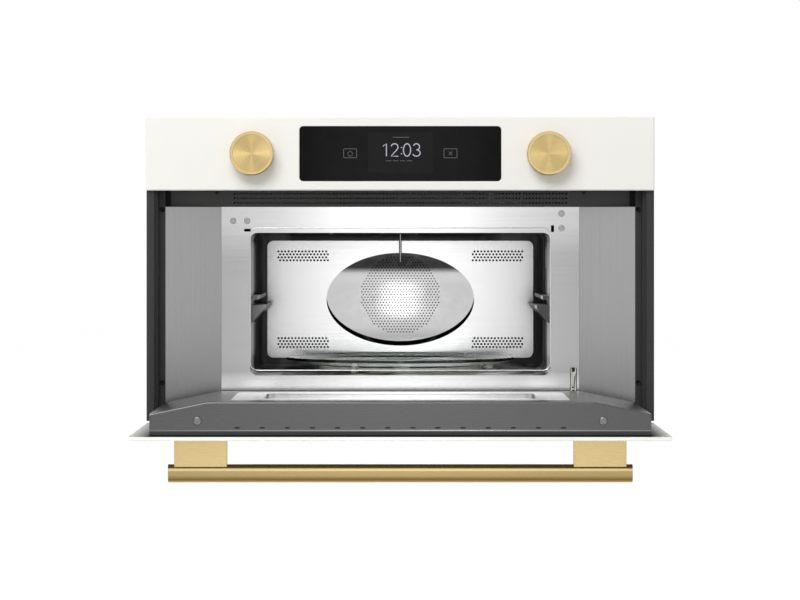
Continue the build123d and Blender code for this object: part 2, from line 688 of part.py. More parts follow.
# Cavity shell: four welded sheets, open at the front, with a window in the back
WAVEGUIDE_X = 141.0
WAVEGUIDE_Y = FRAME_Y + 150.0
WAVEGUIDE_WIDTH = 92.0
WAVEGUIDE_DEPTH = 46.0
WAVEGUIDE_WINDOW = (80.0, 38.0)
LAMP_Y = FRAME_Y + LAMP_SETBACK
LAMP_Z = FLOOR_Z + LAMP_ABOVE_FLOOR
PROBE_Y = FRAME_Y + PROBE_SETBACK
POCKET_X = (GRILL_LEGS[0] + GRILL_LEGS[-1]) / 2
POCKET_WIDTH = GRILL_LEGS[-1] - GRILL_LEGS[0] + 2 * POCKET_MARGIN
POCKET_Y = FRAME_Y + (GRILL_FRONT + GRILL_REAR) / 2
POCKET_LENGTH = GRILL_REAR - GRILL_FRONT + 2 * POCKET_MARGIN
with BuildPart() as cavity_shell:
    with BuildSketch(front(BACK_WALL_Y, z=CAVITY_Z)):
        RectangleRounded(
            CAVITY_WIDTH + 2 * CAVITY_WALL,
            CAVITY_HEIGHT + 2 * CAVITY_WALL,
            CAVITY_CORNER + CAVITY_WALL,
        )
    extrude(amount=BACK_WALL_Y - FRAME_BACK_Y)
    fillet(cavity_shell.faces().sort_by(Axis.Y)[-1].edges(), BACK_CORNER)
    offset(amount=-CAVITY_WALL, openings=cavity_shell.faces().sort_by(Axis.Y)[0])
    with BuildSketch(front(BACK_WALL_Y, z=CAVITY_Z)):
        RectangleRounded(BACK_OPENING_WIDTH, BACK_OPENING_HEIGHT, CAVITY_CORNER - CAVITY_WALL)
    extrude(amount=2 * CAVITY_WALL, mode=Mode.SUBTRACT)
    with BuildSketch(level(CEILING_Z, x=POCKET_X, y=POCKET_Y)):
        Rectangle(POCKET_WIDTH + 2 * CAVITY_WALL, POCKET_LENGTH + 2 * CAVITY_WALL)
    extrude(amount=POCKET_HEIGHT + CAVITY_WALL)
    with BuildSketch(level(CEILING_Z - CAVITY_WALL, x=POCKET_X, y=POCKET_Y)):
        Rectangle(POCKET_WIDTH, POCKET_LENGTH)
    extrude(amount=POCKET_HEIGHT + CAVITY_WALL, mode=Mode.SUBTRACT)
    with BuildSketch(level(CEILING_Z)):
        with Locations((0, PROBE_Y)):
            Circle(PROBE_RADIUS + SEAT)
        with Locations((WAVEGUIDE_X, WAVEGUIDE_Y)):
            Rectangle(*WAVEGUIDE_WINDOW)
    extrude(amount=2 * CAVITY_WALL, mode=Mode.SUBTRACT)
    with BuildSketch(level(CEILING_Z + POCKET_HEIGHT)):
        with Locations((GRILL_LEGS[0], FRAME_Y + GRILL_REAR), (GRILL_LEGS[-1], FRAME_Y + GRILL_REAR)):
            Circle(GRILL_TUBE_RADIUS + SEAT)
    extrude(amount=2 * CAVITY_WALL, mode=Mode.SUBTRACT)
    with BuildSketch(level(FLOOR_Z - CAVITY_WALL, y=TRAY_Y)):
        Circle(COUPLER_SHAFT_RADIUS + SHAFT_CLEAR)
    extrude(amount=2 * CAVITY_WALL, mode=Mode.SUBTRACT)
    with BuildSketch(side(CAVITY_WIDTH / 2, y=LAMP_Y, z=LAMP_Z)):
        Circle(LAMP_RADIUS + SEAT)
    extrude(amount=2 * CAVITY_WALL, mode=Mode.SUBTRACT)
    for hand in (-1, 1):
        seam_x = hand * (CAVITY_WIDTH / 2 - CAVITY_CORNER - SHELL_SEAM_INSET)
        split(bisect_by=side(seam_x), keep=Keep.BOTH)
save(cavity_shell, "cavity_shell")

# Back wall: four groups of holes in rows that step by half a pitch, and the oval mouth
with BuildPart() as back_wall:
    with BuildSketch(front(CHAMBER_Y, z=CAVITY_Z)):
        RectangleRounded(BACK_OPENING_WIDTH + BACK_LAP, BACK_OPENING_HEIGHT + BACK_LAP, CAVITY_CORNER)
        Ellipse(DISH_WIDTH / 2, DISH_HEIGHT / 2, mode=Mode.SUBTRACT)
        for hand in (-1, 1):
            for level_sign in (-1, 1):
                for row in range(GRILLE_ROWS):
                    row_step = row - (GRILLE_ROWS - 1) / 2
                    row_z = level_sign * GRILLE_CENTRE_Z + row_step * GRILLE_ROW_PITCH
                    half_step = GRILLE_PITCH / 4 if row % 2 else -GRILLE_PITCH / 4
                    with Locations((hand * (GRILLE_CENTRE_X + half_step), row_z)):
                        with GridLocations(GRILLE_PITCH, 0, GRILLE_COLUMNS, 1):
                            Circle(GRILLE_HOLE / 2, mode=Mode.SUBTRACT)
    extrude(amount=SHEET)
save(back_wall, "back_wall")

# Fan cover: an oval dish that sinks to a round perforated floor
DISH_FLOOR_Y = CHAMBER_Y + DISH_DEPTH
DISH_COLUMNS = int(2 * DISH_PERFORATED_RADIUS / DISH_PITCH) + 1
DISH_ROW_PITCH = DISH_PITCH * sin(radians(60))
DISH_ROWS = int(DISH_PERFORATED_RADIUS / DISH_ROW_PITCH)
with BuildPart() as fan_cover:
    with BuildSketch(front(CHAMBER_Y + SHEET, z=CAVITY_Z)):
        Ellipse(DISH_WIDTH / 2 + DISH_LAP, DISH_HEIGHT / 2 + DISH_LAP)
    extrude(amount=SHEET)
    with BuildSketch(front(CHAMBER_Y + SHEET, z=CAVITY_Z)):
        Ellipse(DISH_WIDTH / 2 + SHEET, DISH_HEIGHT / 2 + SHEET)
    with BuildSketch(front(DISH_FLOOR_Y + SHEET, z=CAVITY_Z)):
        Ellipse(DISH_FLOOR_RADIUS + SHEET + DISH_OVAL, DISH_FLOOR_RADIUS + SHEET)
    loft()
    with BuildSketch(front(CHAMBER_Y, z=CAVITY_Z)):
        Ellipse(DISH_WIDTH / 2, DISH_HEIGHT / 2)
    with BuildSketch(front(DISH_FLOOR_Y, z=CAVITY_Z)):
        Ellipse(DISH_FLOOR_RADIUS + DISH_OVAL, DISH_FLOOR_RADIUS)
    loft(mode=Mode.SUBTRACT)
    with BuildSketch(front(DISH_FLOOR_Y + SHEET, z=CAVITY_Z)):
        for row in range(-DISH_ROWS, DISH_ROWS + 1):
            row_z = row * DISH_ROW_PITCH
            step = DISH_PITCH / 2 if row % 2 else 0.0
            for column in range(-DISH_COLUMNS, DISH_COLUMNS + 1):
                hole_x = column * DISH_PITCH + step
                if hole_x**2 + row_z**2 < (DISH_PERFORATED_RADIUS - DISH_HOLE / 2) ** 2:
                    with Locations((hole_x, row_z)):
                        Circle(DISH_HOLE / 2)
    extrude(amount=2 * SHEET, mode=Mode.SUBTRACT)
save(fan_cover, "fan_cover")

# Fan housing: a pan behind the back wall, open to it
CHAMBER_BACK_Y = CHAMBER_Y + CHAMBER_DEPTH
HEATER_Y = CHAMBER_Y + HEATER_SETBACK
HEATER_LEG_Z = CAVITY_Z - sqrt(HEATER_RING_RADIUS**2 - HEATER_LEG_X**2)
with BuildPart() as fan_housing:
    with BuildSketch(front(CHAMBER_BACK_Y, z=CAVITY_Z)):
        RectangleRounded(CHAMBER_WIDTH, CHAMBER_HEIGHT, CAVITY_CORNER)
    extrude(amount=CHAMBER_DEPTH)
    with BuildSketch(front(CHAMBER_BACK_Y - SHEET, z=CAVITY_Z)):
        RectangleRounded(CHAMBER_WIDTH - 2 * SHEET, CHAMBER_HEIGHT - 2 * SHEET, CAVITY_CORNER - SHEET)
    extrude(amount=CHAMBER_DEPTH, mode=Mode.SUBTRACT)
    with BuildSketch(front(CHAMBER_BACK_Y, z=CAVITY_Z)):
        Circle(FAN_SHAFT_RADIUS + SHAFT_CLEAR)
        with Locations((0, HEATER_LEG_Z - CAVITY_Z)):
            with GridLocations(2 * HEATER_LEG_X, 0, 2, 1):
                Circle(HEATER_LEG_RADIUS + SEAT)
    extrude(amount=2 * SHEET, mode=Mode.SUBTRACT)
save(fan_housing, "fan_housing")

# Ring heater: one tube round the fan, with two thicker legs out through the pan
with BuildPart() as ring_heater:
    leg_angle = degrees(asin(HEATER_LEG_X / HEATER_RING_RADIUS))
    with BuildLine(front(HEATER_Y, z=CAVITY_Z)) as ring_path:
        CenterArc((0, 0), HEATER_RING_RADIUS, leg_angle - 90, 360 - 2 * leg_angle)
    ring_wire = ring_path.wire()
    with BuildSketch(Plane(origin=ring_wire @ 0, z_dir=ring_wire % 0)):
        Circle(HEATER_TUBE_RADIUS)
    sweep(path=ring_wire)
    with BuildSketch(front(CHAMBER_BACK_Y + HEATER_TAIL, z=HEATER_LEG_Z)):
        with GridLocations(2 * HEATER_LEG_X, 0, 2, 1):
            Circle(HEATER_LEG_RADIUS)
    extrude(amount=CHAMBER_BACK_Y + HEATER_TAIL - HEATER_Y + HEATER_LEG_RADIUS)
save(ring_heater, "ring_heater")

# Convection fan: a bladed disc on a shaft through the pan
FAN_DISC_Y = CHAMBER_BACK_Y - FAN_DISC_AHEAD
with BuildPart() as convection_fan:
    with BuildSketch(front(FAN_DISC_Y, z=CAVITY_Z)):
        Circle(FAN_RADIUS)
    extrude(amount=FAN_DISC_THICK)
    for index in range(FAN_BLADES):
        angle = radians(360.0 * index / FAN_BLADES)
        blade_plane = Plane(
            origin=(0, FAN_DISC_Y - FAN_DISC_THICK, CAVITY_Z),
            x_dir=(cos(angle), 0, sin(angle)),
            z_dir=(0, -1, 0),
        )
        with BuildSketch(blade_plane):
            with Locations((FAN_BLADE_REACH, 0)):
                Rectangle(FAN_BLADE_SPAN, FAN_DISC_THICK, rotation=FAN_BLADE_ANGLE)
        extrude(amount=FAN_BLADE_HEIGHT)
    with BuildSketch(front(FAN_DISC_Y, z=CAVITY_Z)):
        Circle(FAN_HUB_RADIUS)
    extrude(amount=FAN_HUB_HEIGHT)
    with BuildSketch(front(CHAMBER_BACK_Y + FAN_SHAFT_TAIL, z=CAVITY_Z)):
        Circle(FAN_SHAFT_RADIUS)
    extrude(amount=CHAMBER_BACK_Y + FAN_SHAFT_TAIL - FAN_DISC_Y)
save(convection_fan, "convection_fan")

# Convection motor: its flange bolts to the pan's rear face
with BuildPart() as convection_motor:
    with BuildSketch(front(CHAMBER_BACK_Y + CONVECTION_MOTOR_LENGTH, z=CAVITY_Z)):
        Circle(CONVECTION_MOTOR_RADIUS)
    extrude(amount=CONVECTION_MOTOR_LENGTH)
    flange_width, flange_height, flange_thick = MOTOR_FLANGE
    with BuildSketch(front(CHAMBER_BACK_Y + flange_thick, z=CAVITY_Z)):
        RectangleRounded(flange_width, flange_height, MOTOR_FLANGE_CORNER)
    extrude(amount=flange_thick)
    with BuildSketch(front(CHAMBER_BACK_Y + MOTOR_BORE_DEPTH, z=CAVITY_Z)):
        Circle(FAN_SHAFT_RADIUS + FIT)
    extrude(amount=MOTOR_BORE_DEPTH, mode=Mode.SUBTRACT)
save(convection_motor, "convection_motor")

# Grill element: one tube in four legs, its ends turned up through the pocket
GRILL_Z = CEILING_Z + GRILL_TUBE_RADIUS - GRILL_DIP
GRILL_FRONT_Y = FRAME_Y + GRILL_FRONT
GRILL_REAR_Y = FRAME_Y + GRILL_REAR
with BuildPart() as grill_element:
    tail_z = GRILL_Z + POCKET_HEIGHT + GRILL_TAIL
    middle_y = GRILL_REAR_Y - GRILL_MIDDLE_SHORT
    with BuildLine() as grill_path:
        FilletPolyline(
            (GRILL_LEGS[0], GRILL_REAR_Y, tail_z),
            (GRILL_LEGS[0], GRILL_REAR_Y, GRILL_Z),
            (GRILL_LEGS[0], GRILL_FRONT_Y, GRILL_Z),
            (GRILL_LEGS[1], GRILL_FRONT_Y, GRILL_Z),
            (GRILL_LEGS[1], middle_y, GRILL_Z),
            (GRILL_LEGS[2], middle_y, GRILL_Z),
            (GRILL_LEGS[2], GRILL_FRONT_Y, GRILL_Z),
            (GRILL_LEGS[3], GRILL_FRONT_Y, GRILL_Z),
            (GRILL_LEGS[3], GRILL_REAR_Y, GRILL_Z),
            (GRILL_LEGS[3], GRILL_REAR_Y, tail_z),
            radius=[GRILL_RISE_TURN] + [GRILL_TURN] * 6 + [GRILL_RISE_TURN],
        )
    grill_wire = grill_path.wire()
    with BuildSketch(Plane(origin=grill_wire @ 0, z_dir=grill_wire % 0)):
        Circle(GRILL_TUBE_RADIUS)
    sweep(path=grill_wire)
save(grill_element, "grill_element")

# Temperature probe: a rod through the ceiling, near the back wall
with BuildPart() as temperature_probe:
    with BuildSketch(level(CEILING_Z + CAVITY_WALL, y=PROBE_Y)):
        Circle(PROBE_BOSS[0])
    extrude(amount=PROBE_BOSS[1])
    with BuildSketch(level(CEILING_Z + CAVITY_WALL, y=PROBE_Y)):
        Circle(PROBE_RADIUS)
    extrude(amount=-(PROBE_LENGTH + CAVITY_WALL))
    with BuildSketch(level(CEILING_Z - PROBE_LENGTH, y=PROBE_Y)):
        Circle(PROBE_TIP_RADIUS)
    extrude(amount=-PROBE_TIP_LENGTH)
save(temperature_probe, "temperature_probe")

# Rack supports: on each side wall a wedge-shaped runner with a narrow guide above it
with BuildPart() as rack_supports:
    for hand in (-1, 1):
        wall_x = hand * CAVITY_WIDTH / 2
        runner_z = FLOOR_Z + RUNNER_TOP
        guide_z = runner_z + GUIDE_ABOVE_RUNNER
        with BuildSketch(front(FRAME_Y + RUNNER_REAR)):
            with BuildLine():
                Polyline(
                    (wall_x, runner_z),
                    (wall_x - hand * RUNNER_REACH, runner_z),
                    (wall_x - hand * RUNNER_REACH, runner_z - RUNNER_LIP),
                    (wall_x, runner_z - RUNNER_HEIGHT),
                    close=True,
                )
            make_face()
            with Locations((wall_x - hand * GUIDE_REACH / 2, guide_z + GUIDE_HEIGHT / 2)):
                Rectangle(GUIDE_REACH, GUIDE_HEIGHT)
        extrude(amount=RUNNER_REAR - RUNNER_FRONT)
save(rack_supports, "rack_supports")

# Cavity lamp: a lens flush in the right wall, on a holder outside it
with BuildPart() as cavity_lamp:
    outside_x = CAVITY_WIDTH / 2 + CAVITY_WALL
    with BuildSketch(side(CAVITY_WIDTH / 2, y=LAMP_Y, z=LAMP_Z)):
        Circle(LAMP_RADIUS)
    extrude(amount=CAVITY_WALL)
    with BuildSketch(side(outside_x, y=LAMP_Y, z=LAMP_Z)):
        RectangleRounded(LAMP_PLATE[0], LAMP_PLATE[1], LAMP_PLATE_CORNER)
    extrude(amount=LAMP_PLATE[2])
    with BuildSketch(side(outside_x + LAMP_PLATE[2], y=LAMP_Y, z=LAMP_Z)):
        Circle(LAMP_RADIUS)
    extrude(amount=LAMP_HOLDER_DEPTH)
save(cavity_lamp, "cavity_lamp")

# Component deck: a shelf over the cavity, cut away round the waveguide
MAGNETRON_WIDTH = 96.0
DECK_FRONT_SETBACK = 22.0
DECK_REAR_SPACE = 30.0
DECK_CUT_CLEAR = 1.0
GRILL_TAIL_HOLE = 9.75
with BuildPart() as component_deck:
    deck_front_y = FRAME_BACK_Y + DECK_FRONT_SETBACK
    deck_back_y = REAR_Y - DECK_REAR_SPACE
    with BuildSketch(level(DECK_Z, y=(deck_front_y + deck_back_y) / 2)):
        Rectangle(HOUSING_WIDTH - 2 * SHEET - 2 * SEAT, deck_back_y - deck_front_y)
    extrude(amount=SHEET)
    with BuildSketch(level(DECK_Z)):
        with Locations((WAVEGUIDE_X, WAVEGUIDE_Y)):
            Rectangle(WAVEGUIDE_WIDTH + 2 * DECK_CUT_CLEAR, WAVEGUIDE_DEPTH + 2 * DECK_CUT_CLEAR)
        with Locations((GRILL_LEGS[0], GRILL_REAR_Y), (GRILL_LEGS[-1], GRILL_REAR_Y)):
            Circle(GRILL_TAIL_HOLE)
    extrude(amount=SHEET, mode=Mode.SUBTRACT)
save(component_deck, "component_deck")

# Waveguide: a box from the magnetron down to the ceiling's window
WAVEGUIDE_ABOVE_DECK = 26.0
WAVEGUIDE_TOP_Z = DECK_Z + WAVEGUIDE_ABOVE_DECK
ANTENNA_RADIUS = 8.0
with BuildPart() as waveguide:
    waveguide_z = CEILING_Z + CAVITY_WALL
    with BuildSketch(level(waveguide_z, x=WAVEGUIDE_X, y=WAVEGUIDE_Y)):
        Rectangle(WAVEGUIDE_WIDTH, WAVEGUIDE_DEPTH)
    extrude(amount=WAVEGUIDE_TOP_Z - waveguide_z)
    with BuildSketch(level(waveguide_z, x=WAVEGUIDE_X, y=WAVEGUIDE_Y)):
        Rectangle(WAVEGUIDE_WIDTH - 2 * SHEET, WAVEGUIDE_DEPTH - 2 * SHEET)
    extrude(amount=WAVEGUIDE_TOP_Z - waveguide_z - SHEET, mode=Mode.SUBTRACT)
    with BuildSketch(level(WAVEGUIDE_TOP_Z - SHEET, x=WAVEGUIDE_X, y=WAVEGUIDE_Y)):
        Circle(ANTENNA_RADIUS + SEAT)
    extrude(amount=SHEET, mode=Mode.SUBTRACT)
save(waveguide, "waveguide")

# Magnetron: a magnet frame with cooling fins and an antenna into the waveguide
with BuildPart() as magnetron:
    magnetron_height = 78.0
    with BuildSketch(level(WAVEGUIDE_TOP_Z, x=WAVEGUIDE_X, y=WAVEGUIDE_Y)):
        Rectangle(MAGNETRON_WIDTH, 70.0)
    extrude(amount=3.0)
    with BuildSketch(level(WAVEGUIDE_TOP_Z + magnetron_height, x=WAVEGUIDE_X, y=WAVEGUIDE_Y)):
        Rectangle(MAGNETRON_WIDTH, 70.0)
    extrude(amount=-3.0)
    with BuildSketch(level(WAVEGUIDE_TOP_Z, x=WAVEGUIDE_X, y=WAVEGUIDE_Y)):
        with GridLocations(MAGNETRON_WIDTH - 3.0, 0, 2, 1):
            Rectangle(3.0, 70.0)
    extrude(amount=magnetron_height)
    with BuildSketch(level(WAVEGUIDE_TOP_Z, x=WAVEGUIDE_X, y=WAVEGUIDE_Y)):
        Circle(20.0)
    extrude(amount=magnetron_height)
    for fin in range(6):
        with BuildSketch(level(WAVEGUIDE_TOP_Z + 16.0 + 8.0 * fin, x=WAVEGUIDE_X, y=WAVEGUIDE_Y)):
            Rectangle(MAGNETRON_WIDTH - 6.0, 60.0)
        extrude(amount=0.8)
    with BuildSketch(level(WAVEGUIDE_TOP_Z, x=WAVEGUIDE_X, y=WAVEGUIDE_Y)):
        Circle(ANTENNA_RADIUS)
    extrude(amount=-20.0)
save(magnetron, "magnetron")

# Transformer: an iron core with two windings, on the deck
TRANSFORMER_X = -60.0
TRANSFORMER_Y = REAR_Y - 150.0
DECK_TOP_Z = DECK_Z + SHEET
with BuildPart() as transformer:
    core = (100.0, 68.0, 84.0)
    with BuildSketch(front(TRANSFORMER_Y, x=TRANSFORMER_X, z=DECK_TOP_Z + core[2] / 2)):
        Rectangle(core[0], core[2])
        with GridLocations(core[0] / 2, 0, 2, 1):
            Rectangle(core[0] / 4, core[2] - 34.0, mode=Mode.SUBTRACT)
    extrude(amount=core[1] / 2, both=True)
    with BuildSketch(level(DECK_TOP_Z + 17.0, x=TRANSFORMER_X, y=TRANSFORMER_Y)):
        RectangleRounded(core[0] / 2 + 24.0, core[1] + 24.0, 10.0)
        Rectangle(core[0] / 4, core[1], mode=Mode.SUBTRACT)
    extrude(amount=core[2] - 34.0)
save(transformer, "transformer")

# Capacitor: an oval can that lies on the deck, with two tags
with BuildPart() as capacitor:
    can_z = DECK_TOP_Z + 17.0
    with BuildSketch(side(10.0, y=TRANSFORMER_Y, z=can_z)):
        SlotOverall(54.0, 34.0)
    extrude(amount=96.0)
    with BuildSketch(side(106.0, y=TRANSFORMER_Y, z=can_z)):
        with GridLocations(18.0, 0, 2, 1):
            Rectangle(1.0, 6.0)
    extrude(amount=10.0)
save(capacitor, "capacitor")

# Cooling fan: a square frame with the motor's boss, and its bladed rotor
COOLER_X = 200.0
COOLER_Y = REAR_Y - 52.0
COOLER_SIDE = 118.0
COOLER_Z = DECK_TOP_Z + COOLER_SIDE / 2
COOLER_DEPTH = 36.0
COOLER_RADIUS = 52.0
COOLER_BOSS_RADIUS = 18.0
with BuildPart() as cooling_fan_housing:
    with BuildSketch(front(COOLER_Y, x=COOLER_X, z=COOLER_Z)):
        RectangleRounded(COOLER_SIDE, COOLER_SIDE, 8.0)
        Circle(COOLER_RADIUS + 2.0, mode=Mode.SUBTRACT)
    extrude(amount=COOLER_DEPTH)
    with BuildSketch(front(COOLER_Y, x=COOLER_X, z=COOLER_Z)):
        Circle(COOLER_BOSS_RADIUS)
        Rectangle(COOLER_SIDE - 8.0, 6.0)
        Rectangle(6.0, COOLER_SIDE - 8.0)
    extrude(amount=5.0)
    with BuildSketch(front(COOLER_Y, x=COOLER_X, z=COOLER_Z)):
        Circle(3.0)
    extrude(amount=24.0)
save(cooling_fan_housing, "cooling_fan_housing")

with BuildPart() as cooling_fan:
    rotor_y = COOLER_Y - 5.0 - PLAY
    with BuildSketch(front(rotor_y, x=COOLER_X, z=COOLER_Z)):
        Circle(COOLER_BOSS_RADIUS)
        Circle(3.0 + FIT, mode=Mode.SUBTRACT)
    extrude(amount=26.0)
    for index in range(7):
        angle = radians(360.0 * index / 7)
        blade_plane = Plane(
            origin=(COOLER_X, rotor_y - 13.0, COOLER_Z),
            x_dir=(0, -1, 0),
            z_dir=(cos(angle), 0, sin(angle)),
        )
        with BuildSketch(blade_plane.offset(COOLER_BOSS_RADIUS - 1.0)):
            Rectangle(1.6, 30.0, rotation=45)
        extrude(amount=COOLER_RADIUS - COOLER_BOSS_RADIUS)
save(cooling_fan, "cooling_fan")

# Terminal block on the deck, and the mains gland in the rear panel
with BuildPart() as terminal_block:
    with BuildSketch(level(DECK_TOP_Z, x=GLAND_X, y=REAR_Y - 70.0)):
        Rectangle(56.0, 26.0)
    extrude(amount=22.0)
    with BuildSketch(level(DECK_TOP_Z + 22.0, x=GLAND_X, y=REAR_Y - 70.0)):
        with GridLocations(16.0, 0, 3, 1):
            Circle(4.0)
    extrude(amount=-5.0, mode=Mode.SUBTRACT)
save(terminal_block, "terminal_block")

GLAND_BORE_RADIUS = 4.6
GLAND_LENGTH = 22.0
with BuildPart() as cable_gland:
    with BuildSketch(front(REAR_Y + 8.0, x=GLAND_X, z=GLAND_Z)):
        RegularPolygon(GLAND_RADIUS + 3.0, 6)
    extrude(amount=8.0)
    with BuildSketch(front(REAR_Y, x=GLAND_X, z=GLAND_Z)):
        Circle(GLAND_RADIUS - SEAT)
    extrude(amount=GLAND_LENGTH - 8.0)
    with BuildSketch(front(REAR_Y + 8.0, x=GLAND_X, z=GLAND_Z)):
        Circle(GLAND_BORE_RADIUS)
    extrude(amount=GLAND_LENGTH, mode=Mode.SUBTRACT)
save(cable_gland, "cable_gland")

# Turntable tray: a glass plate with a raised rim
RING_AXIS = Axis((0, TRAY_Y, 0), (0, 0, 1))
TURN_PLANE = Plane(origin=(0, TRAY_Y, 0), x_dir=(1, 0, 0), z_dir=(0, -1, 0))
with BuildPart() as turntable_tray:
    with BuildSketch(TURN_PLANE):
        with BuildLine():
            Polyline(
                (0, TRAY_Z),
                (TRAY_FLAT_RADIUS, TRAY_Z),
                (TRAY_RADIUS, TRAY_Z + TRAY_RIM_RISE),
                (TRAY_RADIUS, TRAY_Z + TRAY_RIM_RISE + TRAY_THICK),
                (TRAY_FLAT_RADIUS, TRAY_Z + TRAY_THICK),
                (0, TRAY_Z + TRAY_THICK),
                close=True,
            )
        make_face()
    revolve(axis=RING_AXIS)
save(turntable_tray, "turntable_tray")

# Drive coupler: a lobed hub under the tray, on the motor's shaft
TURNTABLE_MOTOR_Z = FLOOR_Z - CAVITY_WALL
with BuildPart() as drive_coupler:
    with BuildSketch(level(FLOOR_Z + 1.0, y=TRAY_Y)):
        Circle(COUPLER_RADIUS * 0.6)
        with PolarLocations(COUPLER_RADIUS * 0.6, COUPLER_LOBES):
            Circle(COUPLER_RADIUS * 0.4)
    extrude(amount=TRAY_Z - FLOOR_Z - 1.0)
    with BuildSketch(level(FLOOR_Z + 1.0, y=TRAY_Y)):
        Circle(COUPLER_SHAFT_RADIUS)
    extrude(amount=-(CAVITY_WALL + 16.0))
save(drive_coupler, "drive_coupler")

# Turntable motor: a flat can under the cavity floor, held by two ears
with BuildPart() as turntable_motor:
    with BuildSketch(level(TURNTABLE_MOTOR_Z, y=TRAY_Y)):
        Circle(TURNTABLE_MOTOR_RADIUS)
    extrude(amount=-TURNTABLE_MOTOR_HEIGHT)
    with BuildSketch(level(TURNTABLE_MOTOR_Z, y=TRAY_Y)):
        SlotOverall(2 * TURNTABLE_MOTOR_RADIUS + 24.0, 12.0)
    extrude(amount=-1.5)
    with BuildSketch(level(TURNTABLE_MOTOR_Z, y=TRAY_Y)):
        Circle(COUPLER_SHAFT_RADIUS + FIT)
    extrude(amount=-18.0, mode=Mode.SUBTRACT)
save(turntable_motor, "turntable_motor")

# Roller ring: a flat ring with three stub axles, and a wheel on each
ROLLER_Z = FLOOR_Z + ROLLER_RADIUS + PLAY
with BuildPart() as roller_ring:
    with BuildSketch(level(ROLLER_Z - RING_THICK / 2, y=TRAY_Y)):
        Circle(RING_OUTER)
        Circle(RING_INNER, mode=Mode.SUBTRACT)
    extrude(amount=RING_THICK)
    for index in range(ROLLER_COUNT):
        angle = radians(360.0 * index / ROLLER_COUNT)
        axle_plane = Plane(
            origin=(0, TRAY_Y, ROLLER_Z),
            x_dir=(-sin(angle), cos(angle), 0),
            z_dir=(cos(angle), sin(angle), 0),
        )
        with BuildSketch(axle_plane.offset(RING_OUTER - 1.0)):
            Circle(ROLLER_AXLE_RADIUS)
        extrude(amount=ROLLER_TRACK + ROLLER_WIDTH / 2 + PLAY + 1.0 - RING_OUTER)
        with BuildSketch(axle_plane.offset(ROLLER_TRACK + ROLLER_WIDTH / 2 + PLAY)):
            Circle(2 * ROLLER_AXLE_RADIUS)
        extrude(amount=1.5)
save(roller_ring, "roller_ring")


def make_roller(index):
    """One wheel of the roller ring, with three round lightening holes."""
    angle = radians(360.0 * index / ROLLER_COUNT)
    roller_plane = Plane(
        origin=(0, TRAY_Y, ROLLER_Z),
        x_dir=(-sin(angle), cos(angle), 0),
        z_dir=(cos(angle), sin(angle), 0),
    ).offset(ROLLER_TRACK - ROLLER_WIDTH / 2)
    with BuildPart() as roller:
        with BuildSketch(roller_plane):
            Circle(ROLLER_RADIUS)
            Circle(ROLLER_AXLE_RADIUS + FIT, mode=Mode.SUBTRACT)
            with PolarLocations(ROLLER_RADIUS * 0.62, 3):
                Circle(0.8, mode=Mode.SUBTRACT)
        extrude(amount=ROLLER_WIDTH)
    return roller


for roller_index in range(ROLLER_COUNT):
    save(make_roller(roller_index), f"roller_{roller_index + 1}")

# Door glass: the outer pane, which covers the whole door
with BuildPart() as door_outer_glass:
    with BuildSketch(DOOR_FACE):
        with Locations((0, DOOR_HEIGHT / 2)):
            Rectangle(FRONT_WIDTH, DOOR_HEIGHT)
    extrude(amount=-GLASS_THICK)
    chamfer(door_outer_glass.edges(), GLASS_BEVEL)
save(door_outer_glass, "door_outer_glass")

# Door seal and spacer: two frames between the glass and the liner
LINER_MIDDLE = (LINER_FOOT + LINER_TOP) / 2
LINER_HEIGHT = LINER_TOP - LINER_FOOT
LINER_START = GLASS_THICK + SEAL_THICK + SPACER_THICK


def make_door_frame(depth, thick, width, inset):
    """A flat frame inside the door, depth behind its face, set in from the liner's edge."""
    with BuildPart() as frame:
        with BuildSketch(DOOR_FACE.offset(-depth)):
            with Locations((0, LINER_MIDDLE)):
                Rectangle(2 * (LINER_HALF_WIDTH - inset), LINER_HEIGHT - 2 * inset)
                Rectangle(
                    2 * (LINER_HALF_WIDTH - inset - width),
                    LINER_HEIGHT - 2 * (inset + width),
                    mode=Mode.SUBTRACT,
                )
        extrude(amount=-thick)
    return frame


door_seal = make_door_frame(GLASS_THICK, SEAL_THICK, SEAL_WIDTH, 0.8)
save(door_seal, "door_seal")
door_spacer = make_door_frame(GLASS_THICK + SEAL_THICK, SPACER_THICK, SEAL_WIDTH + 6.0, 0.0)
save(door_spacer, "door_spacer")

